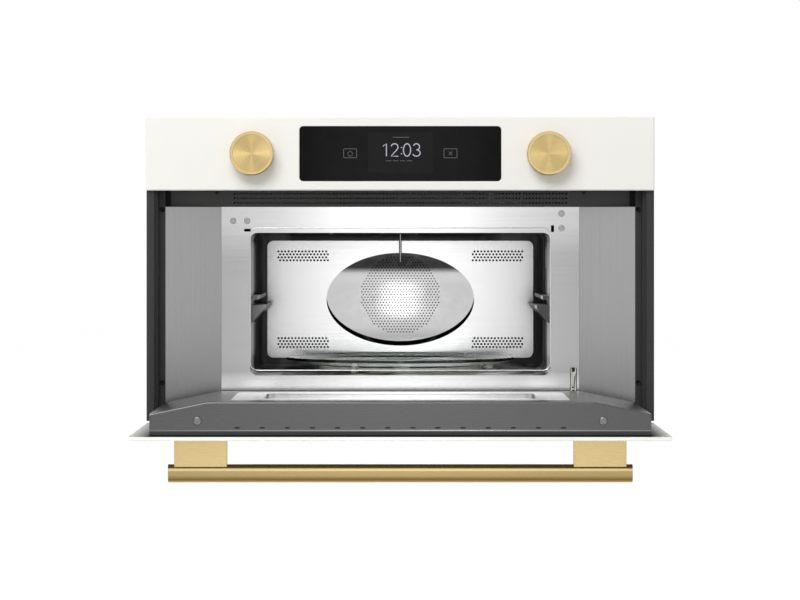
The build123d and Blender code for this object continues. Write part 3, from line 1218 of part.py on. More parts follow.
# Door liner: a pressed pan whose sides slope to match the wings
WING_EDGE_X = FRAME_WIDTH / 2
with BuildPart() as door_liner:
    with BuildSketch(DOOR_SECTION.offset(LINER_FOOT)):
        with BuildLine():
            Polyline(
                (-LINER_HALF_WIDTH, LINER_START),
                (LINER_HALF_WIDTH, LINER_START),
                (LINER_HALF_WIDTH, LINER_SIDE_DEPTH),
                (WING_EDGE_X, LINER_DEPTH),
                (-WING_EDGE_X, LINER_DEPTH),
                (-LINER_HALF_WIDTH, LINER_SIDE_DEPTH),
                close=True,
            )
        make_face()
    extrude(amount=LINER_HEIGHT)
    rim_z = DOOR_FACE_Z + LINER_SIDE_DEPTH + 0.1
    rim_edges = door_liner.edges().filter_by(lambda edge: edge.center().Z > rim_z)
    end_edges = rim_edges.filter_by(lambda edge: abs((edge % 0.5).Y) < 0.5)
    fillet(end_edges, LINER_EDGE_RADIUS)
    offset(amount=-LINER_WALL, openings=door_liner.faces().sort_by(Axis.Z)[0])
    with BuildSketch(DOOR_FACE.offset(-LINER_DEPTH)):
        with Locations((0, CAVITY_Z - FOOT_Z)):
            RectangleRounded(CHOKE_WIDTH, CHOKE_HEIGHT, CAVITY_CORNER)
    extrude(amount=2 * LINER_WALL, both=True, mode=Mode.SUBTRACT)
    with BuildSketch(DOOR_SECTION.offset(LINER_TOP)):
        with Locations((0, AIR_SLOT_DEPTH)):
            with GridLocations(AIR_SLOT_PITCH, 0, AIR_SLOTS, 1):
                Rectangle(AIR_SLOT_LENGTH, AIR_SLOT_WIDTH)
        with Locations((0, EDGE_SCREW_DEPTH)):
            with GridLocations(2 * EDGE_SCREW_X, 0, 2, 1):
                Circle(EDGE_SCREW_SHANK + SEAT)
    extrude(amount=-2 * LINER_WALL, mode=Mode.SUBTRACT)
save(door_liner, "door_liner")

# Screws in the liner's upper edge
with BuildPart() as door_edge_screws:
    with BuildSketch(DOOR_SECTION.offset(LINER_TOP)):
        with Locations((0, EDGE_SCREW_DEPTH)):
            with GridLocations(2 * EDGE_SCREW_X, 0, 2, 1):
                Circle(EDGE_SCREW_RADIUS)
    extrude(amount=EDGE_SCREW_RISE)
    fillet(door_edge_screws.faces().filter_by(Axis.Y).group_by(Axis.Y)[0].edges(), EDGE_SCREW_RISE * 0.8)
    with BuildSketch(DOOR_SECTION.offset(LINER_TOP)):
        with Locations((0, EDGE_SCREW_DEPTH)):
            with GridLocations(2 * EDGE_SCREW_X, 0, 2, 1):
                Circle(EDGE_SCREW_SHANK)
    extrude(amount=-8.0)
save(door_edge_screws, "door_edge_screws")

# Choke cover: a stepped ring that fills the liner's window
CHOKE_BACK = LINER_DEPTH - LINER_WALL - 2.6
with BuildPart() as choke_cover:
    with BuildSketch(DOOR_FACE.offset(-LINER_DEPTH + LINER_WALL)):
        with Locations((0, CAVITY_Z - FOOT_Z)):
            RectangleRounded(CHOKE_WIDTH + 2 * CHOKE_LAP, CHOKE_HEIGHT + 2 * CHOKE_LAP, CAVITY_CORNER)
    extrude(amount=LINER_DEPTH - LINER_WALL - CHOKE_BACK)
    with BuildSketch(DOOR_FACE.offset(-LINER_DEPTH + LINER_WALL)):
        with Locations((0, CAVITY_Z - FOOT_Z)):
            RectangleRounded(CHOKE_WIDTH - 2 * SEAT, CHOKE_HEIGHT - 2 * SEAT, CAVITY_CORNER - SEAT)
    extrude(amount=-LINER_WALL)
    with BuildSketch(DOOR_FACE.offset(-CHOKE_BACK)):
        with Locations((0, CAVITY_Z - FOOT_Z)):
            RectangleRounded(WINDOW_WIDTH, WINDOW_HEIGHT, CAVITY_CORNER)
    extrude(amount=-LINER_DEPTH, mode=Mode.SUBTRACT)
save(choke_cover, "choke_cover")

# Inner glass and the fine metal screen behind it
with BuildPart() as door_inner_glass:
    with BuildSketch(DOOR_FACE.offset(-CHOKE_BACK)):
        with Locations((0, CAVITY_Z - FOOT_Z)):
            RectangleRounded(WINDOW_WIDTH + 2 * WINDOW_LAP, WINDOW_HEIGHT + 2 * WINDOW_LAP, CAVITY_CORNER)
    extrude(amount=INNER_GLASS_THICK)
save(door_inner_glass, "door_inner_glass")

with BuildPart() as door_screen:
    with BuildSketch(DOOR_FACE.offset(-CHOKE_BACK + INNER_GLASS_THICK)):
        with Locations((0, CAVITY_Z - FOOT_Z)):
            RectangleRounded(WINDOW_WIDTH + 4 * WINDOW_LAP, WINDOW_HEIGHT + 4 * WINDOW_LAP, CAVITY_CORNER)
    extrude(amount=SCREEN_THICK)
save(door_screen, "door_screen")

# Handle: one long bar with slanted edges, and two broad posts shaped to it
HANDLE_Y = DOOR_FOOT_Y - DOOR_HEIGHT + HANDLE_BELOW_TOP
BAR_NEAR_Z = DOOR_FACE_Z - POST_LENGTH
BAR_FAR_Z = BAR_NEAR_Z - BAR_DEPTH
with BuildPart() as handle_bar:
    with BuildSketch(side(-BAR_LENGTH / 2, y=HANDLE_Y)):
        with BuildLine():
            Polyline(
                (BAR_HEIGHT / 2 - BAR_SLANT, BAR_NEAR_Z),
                (BAR_HEIGHT / 2, BAR_NEAR_Z - BAR_SLANT_NEAR),
                (BAR_HEIGHT / 2, BAR_FAR_Z + BAR_SLANT_FAR),
                (BAR_HEIGHT / 2 - BAR_SLANT, BAR_FAR_Z),
                (BAR_SLANT - BAR_HEIGHT / 2, BAR_FAR_Z),
                (-BAR_HEIGHT / 2, BAR_FAR_Z + BAR_SLANT_FAR),
                (-BAR_HEIGHT / 2, BAR_NEAR_Z - BAR_SLANT_NEAR),
                (BAR_SLANT - BAR_HEIGHT / 2, BAR_NEAR_Z),
                close=True,
            )
        make_face()
    extrude(amount=BAR_LENGTH)
    fillet(handle_bar.edges().filter_by(Axis.X), BAR_EDGE)
save(handle_bar, "handle_bar")

with BuildPart() as handle_posts:
    with BuildSketch(level(DOOR_FACE_Z, y=HANDLE_Y)):
        with GridLocations(2 * POST_CENTRE_X, 0, 2, 1):
            Rectangle(POST_WIDTH, POST_HEIGHT)
    extrude(amount=-(POST_LENGTH + POST_LAP))
    fillet(handle_posts.edges().filter_by(Axis.Z), POST_EDGE)
    add(handle_bar.part, mode=Mode.SUBTRACT)
save(handle_posts, "handle_posts")

# Hinge brackets: a pair of ears and a pin on each side, fixed to the bottom trim
EAR_OFFSET = HINGE_ARM_WIDTH / 2 + HINGE_ARM_GAP + HINGE_EAR_THICK / 2
PLATE_FRONT_Y = channel_y - HINGE_PLATE_THICK
with BuildPart() as hinge_brackets:
    for hand in (-1, 1):
        for ear_side in (-1, 1):
            ear_x = hand * HINGE_X + ear_side * EAR_OFFSET - HINGE_EAR_THICK / 2
            with BuildSketch(side(ear_x, y=PIVOT_Y, z=PIVOT_Z)):
                Circle(HINGE_EAR_RADIUS)
                with Locations(((PLATE_FRONT_Y - PIVOT_Y) / 2, 0)):
                    Rectangle(PLATE_FRONT_Y - PIVOT_Y, 1.5 * HINGE_EAR_RADIUS)
            extrude(amount=HINGE_EAR_THICK)
        pin_half = EAR_OFFSET + HINGE_EAR_THICK
        with BuildSketch(side(hand * HINGE_X - pin_half, y=PIVOT_Y, z=PIVOT_Z)):
            Circle(HINGE_PIN_RADIUS)
        extrude(amount=2 * pin_half)
    with BuildSketch(front(channel_y, z=TRIM_FOOT_Z + 4.8)):
        with GridLocations(2 * HINGE_X, 0, 2, 1):
            Rectangle(HINGE_PLATE_WIDTH, 9.6)
    extrude(amount=HINGE_PLATE_THICK)
save(hinge_brackets, "hinge_brackets")

# Hinge arms: they turn on the pins and carry the door by its liner
LINER_END_Y = DOOR_FOOT_Y - LINER_FOOT
with BuildPart() as hinge_arms:
    for hand in (-1, 1):
        with BuildSketch(side(hand * HINGE_X - HINGE_ARM_WIDTH / 2, y=PIVOT_Y, z=PIVOT_Z)):
            Circle(HINGE_ARM_RADIUS)
            with Locations(((LINER_END_Y - PIVOT_Y) / 2, 0)):
                Rectangle(PIVOT_Y - LINER_END_Y, 1.6 * HINGE_ARM_RADIUS)
            Circle(HINGE_PIN_RADIUS + FIT, mode=Mode.SUBTRACT)
        extrude(amount=HINGE_ARM_WIDTH)
    with BuildSketch(front(LINER_END_Y + 2.0, z=PIVOT_Z)):
        with GridLocations(2 * HINGE_X, 0, 2, 1):
            Rectangle(HINGE_PLATE_WIDTH, 12.0)
    extrude(amount=2.0)
save(hinge_arms, "hinge_arms")

# Interlock: a bracket with its pin and two switches, behind the frame's lower right slot
LEVER_Y = FRAME_Y + LEVER_PIVOT_BEHIND_FRAME
LEVER_Z = FOOT_Z + LEVER_PIVOT_ABOVE_FOOT
NOSE_Z = FOOT_Z + LEVER_NOSE_ABOVE_FOOT
BRACKET_Z = FOOT_Z + INTERLOCK_SLOT_ABOVE_FOOT
BRACKET_INNER = LEVER_THICK / 2 + BRACKET_GAP
with BuildPart() as interlock_switch:
    for hand in (-1, 1):
        wall_start = LEVER_X - BRACKET_INNER - BRACKET_WALL if hand < 0 else LEVER_X + BRACKET_INNER
        with BuildSketch(side(wall_start, y=FRAME_BACK_Y + BRACKET_DEPTH / 2, z=BRACKET_Z)):
            Rectangle(BRACKET_DEPTH, BRACKET_HEIGHT)
        extrude(amount=BRACKET_WALL)
    with BuildSketch(front(FRAME_BACK_Y + BRACKET_DEPTH, x=LEVER_X, z=BRACKET_Z)):
        Rectangle(2 * (BRACKET_INNER + BRACKET_WALL), BRACKET_HEIGHT)
    extrude(amount=BRACKET_WALL)
    with BuildSketch(side(LEVER_X - BRACKET_INNER - BRACKET_WALL, y=LEVER_Y, z=LEVER_Z)):
        Circle(LEVER_PIN_RADIUS)
    extrude(amount=2 * (BRACKET_INNER + BRACKET_WALL))
    switch_x = LEVER_X - BRACKET_INNER - BRACKET_WALL - SWITCH_BLOCK_THICK
    with BuildSketch(side(switch_x, y=FRAME_BACK_Y + SWITCH_BLOCK_SETBACK, z=BRACKET_Z)):
        with GridLocations(0, SWITCH_BLOCK_PITCH, 1, 2):
            Rectangle(*SWITCH_BLOCK)
    extrude(amount=SWITCH_BLOCK_THICK)
save(interlock_switch, "interlock_switch")

# Interlock lever: a rocker whose nose stands out of the slot while the door is open
with BuildPart() as interlock_lever:
    with BuildSketch(side(LEVER_X - LEVER_THICK / 2)):
        with Locations((LEVER_Y, LEVER_Z)):
            Circle(LEVER_HUB_RADIUS)
        with Locations((LEVER_Y, (LEVER_Z + NOSE_Z) / 2)):
            Rectangle(LEVER_ARM_WIDTH, NOSE_Z - LEVER_Z)
        with Locations(((FRAME_Y - LEVER_NOSE_REACH + LEVER_Y + LEVER_ARM_WIDTH / 2) / 2, NOSE_Z)):
            Rectangle(LEVER_Y + LEVER_ARM_WIDTH / 2 - FRAME_Y + LEVER_NOSE_REACH, LEVER_NOSE_HEIGHT)
        with Locations((LEVER_Y, LEVER_Z)):
            Circle(LEVER_PIN_RADIUS + FIT, mode=Mode.SUBTRACT)
    extrude(amount=LEVER_THICK)
save(interlock_lever, "interlock_lever")
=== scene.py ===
import json
from math import cos, pi, radians, sin, sqrt, tau

import bpy
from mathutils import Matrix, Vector
from mathutils.geometry import delaunay_2d_cdt


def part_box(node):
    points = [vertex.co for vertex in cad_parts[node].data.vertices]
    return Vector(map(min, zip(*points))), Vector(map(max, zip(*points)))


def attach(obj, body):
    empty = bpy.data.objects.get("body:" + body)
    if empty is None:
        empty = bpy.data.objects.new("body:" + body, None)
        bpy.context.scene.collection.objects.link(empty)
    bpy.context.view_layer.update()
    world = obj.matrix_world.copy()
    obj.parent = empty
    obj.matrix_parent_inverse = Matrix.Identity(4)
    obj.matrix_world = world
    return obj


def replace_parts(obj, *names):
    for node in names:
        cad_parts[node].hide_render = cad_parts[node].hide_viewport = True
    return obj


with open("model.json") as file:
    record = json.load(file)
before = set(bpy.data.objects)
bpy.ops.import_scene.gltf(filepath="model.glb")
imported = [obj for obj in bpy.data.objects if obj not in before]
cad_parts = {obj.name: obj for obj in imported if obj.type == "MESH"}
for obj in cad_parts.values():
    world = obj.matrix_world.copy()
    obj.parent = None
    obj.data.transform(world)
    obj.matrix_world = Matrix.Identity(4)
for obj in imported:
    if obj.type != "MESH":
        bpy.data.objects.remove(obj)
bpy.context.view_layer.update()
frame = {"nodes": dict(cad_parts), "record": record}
nodes = frame["nodes"]

# Camera: level and straight on, from about 5 metres
CAMERA_PLACE = (0.0, -5.251, 0.265)
CAMERA_LENS = 148.8
CAMERA_SENSOR = 36.0
CAMERA_SHIFT = (-0.0004, -0.079)

camera = bpy.data.objects.new("camera", bpy.data.cameras.new("camera"))
camera.location = CAMERA_PLACE
camera.rotation_euler = (pi / 2, 0, 0)
camera.data.lens = CAMERA_LENS
camera.data.sensor_width = CAMERA_SENSOR
camera.data.shift_x, camera.data.shift_y = CAMERA_SHIFT
bpy.context.scene.collection.objects.link(camera)
bpy.context.scene.camera = camera
bpy.context.scene.view_settings.view_transform = "Standard"

# Places read from the frame
lens_low, lens_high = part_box("display_lens")
shell_low, shell_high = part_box("cavity_shell")
frame_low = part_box("front_frame")[0]
strip_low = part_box("vent_strip")[0]
glass_low, glass_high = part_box("door_outer_glass")
liner_low, liner_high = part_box("door_liner")
disc_low, disc_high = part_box("knob_disc_right")
CONTROL_Z = (lens_low.z + lens_high.z) / 2
KNOB_X = (disc_low.x + disc_high.x) / 2

# Painted areas: the screen behind the lens, a painted reflection inside the mouth, the window in the door
# glass
SCREEN_Z = CONTROL_Z + 0.0013
SCREEN_HALF_WIDTH = 0.0478
SCREEN_HALF_HEIGHT = 0.0298
SCREEN_FADE = 0.0006
# Where the painted reflection inside the mouth ends, and how far it fades
MOUTH_REFLECTION_END_Y = frame_low.y + 0.112
MOUTH_REFLECTION_FADE = 0.012
WINDOW_HALF_WIDTH = 0.215
WINDOW_HALF_HEIGHT = 0.0925
WINDOW_Y = glass_high.y - 0.1775
WINDOW_FADE = 0.0004

# How far into the glass its outer and its inner face are painted, each from where the paint is full
OUTER_FACE_SKIN = (0.0006, 0.0010)
INNER_FACE_SKIN = (0.0004, 0.0008)

# The part of a noise's range that holds nearly all of its values
NOISE_LOW = 0.3
NOISE_HIGH = 0.7


class Look:
    """A material on a Principled shader, with short calls that add its nodes."""

    def __init__(self, name, **inputs):
        self.material = bpy.data.materials.new(name)
        self.material.use_nodes = True
        self.tree = self.material.node_tree
        self.shader = self.tree.nodes["Principled BSDF"]
        for key, value in inputs.items():
            self.set(key.replace("_", " ").title().replace("Ior", "IOR"), value)

    def set(self, socket, value):
        """Put a number or a colour on the shader's own socket."""
        if isinstance(value, tuple) and len(value) == 3:
            value = (*value, 1.0)
        self.shader.inputs[socket].default_value = value

    def add(self, kind, settings=None, **inputs):
        """Add a node; inputs are given by socket name, or by _ and the socket's number."""
        node = self.tree.nodes.new("ShaderNode" + kind)
        for key, value in (settings or {}).items():
            setattr(node, key, value)
        for key, value in inputs.items():
            socket = node.inputs[int(key[1:]) if key[0] == "_" else key.replace("_", " ")]
            self.join(value, socket)
        return node

    def join(self, value, socket):
        """Link an output to a socket, or put a plain value on it."""
        if isinstance(value, bpy.types.NodeSocket):
            self.tree.links.new(value, socket)
        elif isinstance(value, bpy.types.Node):
            self.tree.links.new(value.outputs[0], socket)
        elif isinstance(value, tuple) and len(value) == 3 and len(socket.default_value) == 4:
            socket.default_value = (*value, 1.0)
        else:
            socket.default_value = value

    def feed(self, socket, value):
        """Link a node's output to the shader."""
        self.join(value, self.shader.inputs[socket])

    def place(self):
        """The place on the object, in metres, which moves with it."""
        return self.add("TexCoord").outputs["Object"]

    def math(self, operation, first, second=0.0):
        """The result of one sum."""
        return self.add("Math", {"operation": operation}, _0=first, _1=second).outputs[0]

    def distance(self, value, centre=0.0):
        """How far a value lies from a centre, either way."""
        return self.math("ABSOLUTE", self.math("SUBTRACT", value, centre))

    def blend(self, first, first_share, second):
        """Two values added by their shares, which make one."""
        return self.math(
            "ADD",
            self.math("MULTIPLY", first, first_share),
            self.math("MULTIPLY", second, 1.0 - first_share),
        )

    def parts(self, vector):
        """The three parts of a vector, as outputs."""
        return self.add("SeparateXYZ", Vector=vector).outputs

    def stretch(self, scale):
        """The place, stretched by a scale for each axis."""
        return self.add("Mapping", Vector=self.place(), Scale=scale).outputs[0]

    def noise(self, vector, scale=1.0, detail=2.0, roughness=0.55):
        """A soft noise from 0 to 1."""
        return self.add("TexNoise", Vector=vector, Scale=scale, Detail=detail, Roughness=roughness).outputs[0]

    def span(self, value, low, high, start=0.0, end=1.0):
        """Map a value from low..high to start..end, held at both ends."""
        node = self.add("MapRange", _0=value, _1=low, _2=high, _3=start, _4=end)
        node.clamp = True
        return node.outputs[0]

    def mix(self, factor, first, second, mode="MIX"):
        """Mix two colours."""
        node = self.add("Mix", {"data_type": "RGBA", "blend_type": mode})
        self.join(factor, node.inputs[0])
        self.join(first, node.inputs[6])
        self.join(second, node.inputs[7])
        return node.outputs[2]

    def cloud(self, noise, first, second, low=NOISE_LOW, high=NOISE_HIGH):
        """Mix two colours by a noise."""
        return self.mix(self.span(noise, low, high), first, second)

    def roughen(self, noise, smooth, rough, low=NOISE_LOW, high=NOISE_HIGH):
        """Vary the roughness by a noise."""
        self.feed("Roughness", self.span(noise, low, high, smooth, rough))

    def bump(self, height, strength, distance):
        """Lift the surface by a height from 0 to 1."""
        self.feed("Normal", self.add("Bump", Strength=strength, Distance=distance, Height=height))


def srgb(red, green, blue):
    """A colour written as 0 to 255 in the picture's space, as linear light."""
    parts = [value / 255 for value in (red, green, blue)]
    return tuple(v / 12.92 if v <= 0.04045 else ((v + 0.055) / 1.055) ** 2.4 for v in parts)


def grey(level):
    """A grey written as 0 to 255."""
    return srgb(level, level, level)


def shade(colour, factor):
    """The same colour, lighter or darker."""
    return tuple(min(1.0, part * factor) for part in colour)


def brushed_metal(name, colour, grain, roughness, contrast, lift=0.00002):
    """Brushed metal; grain is small along the brush lines and large across them."""
    look = Look(name, metallic=1.0, roughness=roughness)
    fine = look.noise(look.stretch(grain), detail=4.0)
    broad = look.noise(look.stretch((2.0, 2.0, 2.0)), scale=2.0)
    tone = look.blend(fine, 0.6, broad)
    look.feed("Base Color", look.cloud(tone, shade(colour, 1 - contrast), shade(colour, 1 + contrast)))
    look.roughen(fine, roughness - 0.05, roughness + 0.06, low=0.25, high=0.75)
    look.bump(fine, strength=0.25, distance=lift)
    return look.material


def banded_metal(name, bands, grain, roughness, lift=0.000003):
    """Brushed metal with painted reflections, as a tone that changes with height: bands are (height, colour),
    from the lowest up.
    """
    look = Look(name, metallic=1.0, roughness=roughness)
    z = look.parts(look.place())[2]
    fine = look.noise(look.stretch(grain), detail=4.0)
    colour = bands[0][1]
    for (low, _), (high, above) in zip(bands, bands[1:]):
        colour = look.mix(look.span(z, low, high), colour, above)
    brushed = look.cloud(fine, (0.94, 0.94, 0.94), (1.0, 1.0, 1.0))
    look.feed("Base Color", look.mix(1.0, colour, brushed, mode="MULTIPLY"))
    look.roughen(fine, roughness - 0.04, roughness + 0.05, low=0.25, high=0.75)
    look.bump(fine, strength=0.2, distance=lift)
    return look.material


def spun_brass(name, colour, centre_x, centre_z):
    """Brass turned on a lathe: fine rings, and a painted highlight in soft lobes round the centre."""
    look = Look(name, metallic=1.0, roughness=0.3)
    x, _, z = look.parts(look.place())[:3]
    across = look.math("SUBTRACT", look.math("ABSOLUTE", x), centre_x)
    up = look.math("SUBTRACT", z, centre_z)
    squares = look.math("ADD", look.math("MULTIPLY", across, across), look.math("MULTIPLY", up, up))
    radius = look.math("SQRT", squares)
    rings = look.add("TexNoise", {"noise_dimensions": "1D"}, W=radius, Scale=2600.0, Detail=3.0).outputs[0]
    # Painted highlight: four soft lobes, lighter in the colour, round each knob's centre
    angle = look.math("ARCTAN2", up, across)
    lobes = look.math("ABSOLUTE", look.math("COSINE", look.math("MULTIPLY", angle, 2.0)))
    painted_highlight_wedge = look.math("MULTIPLY", look.math("POWER", lobes, 7.0), 0.6)
    tone = look.cloud(rings, shade(colour, 0.93), shade(colour, 1.05))
    look.feed("Base Color", look.mix(painted_highlight_wedge, tone, shade(colour, 1.32)))
    look.roughen(rings, 0.26, 0.36)
    look.bump(rings, strength=0.2, distance=0.00002)
    look.set("Anisotropic", 0.6)
    look.feed("Tangent", look.add("Tangent", {"direction_type": "RADIAL", "axis": "Y"}))
    return look.material


def white_enamel(name, colour):
    """White lacquered glass: even, with a very faint ripple and cloud."""
    look = Look(name, roughness=0.32, specular_ior_level=0.3)
    patches = look.noise(look.place(), scale=6.0)
    look.feed("Base Color", look.cloud(patches, shade(colour, 0.985), shade(colour, 1.01)))
    ripple = look.noise(look.place(), scale=900.0)
    look.roughen(ripple, 0.29, 0.36)
    look.bump(ripple, strength=0.06, distance=0.00005)
    return look.material


def display_black(name):
    """Black display glass, a little lighter where the screen lies behind it."""
    look = Look(name, roughness=0.08, specular_ior_level=0.05)
    x, _, z = look.parts(look.place())[:3]
    far_x = look.math("ABSOLUTE", x)
    far_z = look.distance(z, SCREEN_Z)
    inside_x = look.span(far_x, SCREEN_HALF_WIDTH, SCREEN_HALF_WIDTH + SCREEN_FADE, 1.0, 0.0)
    inside_z = look.span(far_z, SCREEN_HALF_HEIGHT, SCREEN_HALF_HEIGHT + SCREEN_FADE, 1.0, 0.0)
    haze = look.noise(look.place(), scale=40.0)
    glass = look.cloud(haze, (0.0028, 0.0028, 0.0027), (0.0045, 0.0045, 0.0043))
    screen = look.cloud(haze, (0.0062, 0.0062, 0.0070), (0.0080, 0.0080, 0.0090))
    look.feed("Base Color", look.mix(look.math("MULTIPLY", inside_x, inside_z), glass, screen))
    return look.material


def grained_plastic(name, colour, roughness, specular):
    """Moulded plastic or paint with a fine grain."""
    look = Look(name, roughness=roughness, specular_ior_level=specular)
    grain = look.noise(look.place(), scale=1800.0)
    patches = look.noise(look.place(), scale=12.0)
    tone = look.blend(grain, 0.5, patches)
    look.feed("Base Color", look.cloud(tone, shade(colour, 0.9), shade(colour, 1.12), low=0.35, high=0.65))
    look.roughen(grain, roughness - 0.05, roughness + 0.07)
    look.bump(grain, strength=0.25, distance=0.00004)
    return look.material


def zinc_sheet(name):
    """Galvanised sheet: grey metal with soft flat spangles."""
    look = Look(name, metallic=0.9, roughness=0.42)
    cells = look.add("TexVoronoi", {"feature": "F1"}, Vector=look.place(), Scale=65.0)
    tint = look.add("SeparateColor", Color=cells.outputs["Color"]).outputs[0]
    fine = look.noise(look.place(), scale=350.0)
    tone = look.blend(tint, 0.75, fine)
    look.feed("Base Color", look.mix(tone, srgb(158, 161, 163), srgb(196, 199, 201)))
    look.roughen(tone, 0.36, 0.52, low=0.0, high=1.0)
    look.bump(fine, strength=0.1, distance=0.00004)
    return look.material


def cavity_steel(name):
    """The cavity's sheets: dark polished walls with painted reflections, bright near the mouth and in lines
    up the sides.
    """
    look = Look(name, specular_ior_level=0.0, roughness=0.4, coat_weight=0.16, coat_roughness=0.06)
    y = look.parts(look.place())[1]
    normal = look.parts(look.add("TexCoord").outputs["Normal"])
    on_side = look.span(look.math("ABSOLUTE", normal[0]), 0.6, 0.9)
    on_floor = look.span(normal[2], 0.6, 0.9)
    # Painted reflection: the side walls are light near the mouth
    mouth_reflection = look.span(y, MOUTH_REFLECTION_END_Y, MOUTH_REFLECTION_END_Y + MOUTH_REFLECTION_FADE, 1.0, 0.0)
    # Painted reflections: light lines up the side walls
    reflection_streaks = look.noise(look.stretch((3.0, 30.0, 1.2)), detail=3.0)
    wall = look.cloud(reflection_streaks, grey(96), grey(222), low=0.58, high=0.66)
    wall = look.mix(mouth_reflection, wall, grey(232))
    # Painted reflections: light and dark patches on the floor and the ceiling
    reflection_smear = look.noise(look.stretch((6.0, 2.0, 1.0)), scale=1.6, detail=3.0)
    floor = look.cloud(reflection_smear, grey(84), grey(206), low=0.45, high=0.62)
    ceiling = look.cloud(reflection_smear, grey(78), grey(136), low=0.5, high=0.62)
    look.feed("Base Color", look.mix(on_floor, look.mix(on_side, ceiling, wall), floor))
    return look.material


def door_glass(name):
    """White-backed door glass with a dark window, and painted shade on its inner face, darker towards the
    liner.
    """
    look = Look(name, roughness=0.07, specular_ior_level=0.5)
    x, y, z = look.parts(look.place())[:3]
    far_x = look.math("ABSOLUTE", x)
    past_x = look.math("SUBTRACT", far_x, WINDOW_HALF_WIDTH)
    past_y = look.math("SUBTRACT", look.distance(y, WINDOW_Y), WINDOW_HALF_HEIGHT)
    in_window = look.span(look.math("MAXIMUM", past_x, past_y), 0.0, WINDOW_FADE, 1.0, 0.0)
    full, none = OUTER_FACE_SKIN
    outer_face = look.span(z, glass_low.z + full, glass_low.z + none, 1.0, 0.0)
    full, none = INNER_FACE_SKIN
    inner_face = look.span(z, glass_high.z - none, glass_high.z - full)
    patches = look.noise(look.place(), scale=5.0)
    white = look.cloud(patches, srgb(236, 236, 231), srgb(241, 241, 237))
    window = look.cloud(patches, (0.006, 0.006, 0.006), (0.010, 0.010, 0.010))
    # Painted shade on the inner face: dark next to the liner, pale at the glass's edge
    corner = look.mix(look.span(far_x, liner_high.x, glass_high.x), grey(58), srgb(200, 200, 198))
    backed = look.mix(inner_face, white, corner)
    look.feed("Base Color", look.mix(look.math("MULTIPLY", in_window, outer_face), backed, window))
    return look.material


def glass_border_with_painted_shade(name):
    """A matt border printed inside the door glass, with painted shade that darkens it towards the liner."""
    look = Look(name, roughness=0.6, specular_ior_level=0.0)
    across = look.math("ABSOLUTE", look.parts(look.place())[0])
    patches = look.noise(look.place(), scale=60.0)
    # Painted shade: dark next to the liner, pale at the glass's edge
    tone = look.mix(look.span(across, liner_high.x, glass_high.x), grey(52), srgb(212, 212, 210))
    look.feed("Base Color", look.mix(look.span(patches, 0.2, 0.8, 0.0, 0.06), tone, srgb(240, 240, 238)))
    return look.material


def clear_glass(name, tint, roughness=0.03):
    """Clear glass with a faint tint and slight unevenness."""
    look = Look(name, transmission_weight=1.0, roughness=roughness, ior=1.47)
    patches = look.noise(look.place(), scale=25.0)
    look.feed("Base Color", look.cloud(patches, tint, shade(tint, 1.04)))
    look.bump(patches, strength=0.08, distance=0.0001)
    return look.material


def screen_mesh(name):
    """Black metal screen with small cells, drawn as dark spots on a lighter ground."""
    look = Look(name, metallic=0.4, roughness=0.45, specular_ior_level=0.3)
    cells = look.add("TexVoronoi", {"feature": "F1"}, Vector=look.place(), Scale=420.0).outputs[0]
    look.feed("Base Color", look.cloud(cells, (0.004, 0.004, 0.004), (0.05, 0.05, 0.05), low=0.25, high=0.4))
    return look.material


def circuit_board(name):
    """Green solder mask with faint lighter traces."""
    look = Look(name, roughness=0.35, specular_ior_level=0.5)
    traces = look.add("TexBrick", {"offset": 0.5}, Vector=look.place(), Scale=60.0, Mortar_Size=0.03)
    fine = look.noise(look.place(), scale=220.0)
    mask = look.cloud(fine, srgb(22, 82, 46), srgb(34, 104, 62), low=0.35, high=0.65)
    look.feed("Base Color", look.mix(look.math("MULTIPLY", traces.outputs[1], 0.5), mask, srgb(110, 150, 90)))
    return look.material


def wound_copper(name):
    """Lacquered copper wire, close wound."""
    look = Look(name, metallic=0.9, roughness=0.38)
    wave = look.add("TexWave", {"bands_direction": "Z"}, Vector=look.place(), Scale=260.0, Distortion=0.3)
    look.feed("Base Color", look.mix(wave.outputs[1], srgb(120, 62, 34), srgb(206, 128, 82)))
    look.bump(wave.outputs[1], strength=0.6, distance=0.0003)
    return look.material


def glowing(name, colour):
    """A lit mark on the display, with a soft unevenness."""
    look = Look(name, roughness=0.4, specular_ior_level=0.0)
    grain = look.noise(look.place(), scale=700.0)
    look.feed("Base Color", look.mix(0.5, (0.01, 0.01, 0.01), (0.02, 0.02, 0.02)))
    look.feed("Emission Color", look.cloud(grain, shade(colour, 0.9), colour, low=0.2, high=0.8))
    look.set("Emission Strength", 1.0)
    return look.material


def pale_floor(name, glow):
    """The stage floor: pale, and lit by its own glow where the camera or a clear path sees it."""
    look = Look(name, roughness=0.9, specular_ior_level=0.0, emission_color=(1.0, 1.0, 1.0))
    patches = look.noise(look.place(), scale=0.8)
    look.feed("Base Color", look.cloud(patches, (0.80, 0.80, 0.80), (0.82, 0.82, 0.82)))
    ray = look.add("LightPath").outputs
    seen = look.math("ADD", ray["Is Camera Ray"], ray["Is Glossy Ray"])
    seen = look.math("MINIMUM", look.math("ADD", seen, ray["Is Transmission Ray"]), 1.0)
    look.feed("Emission Strength", look.math("MULTIPLY", seen, glow))
    return look.material


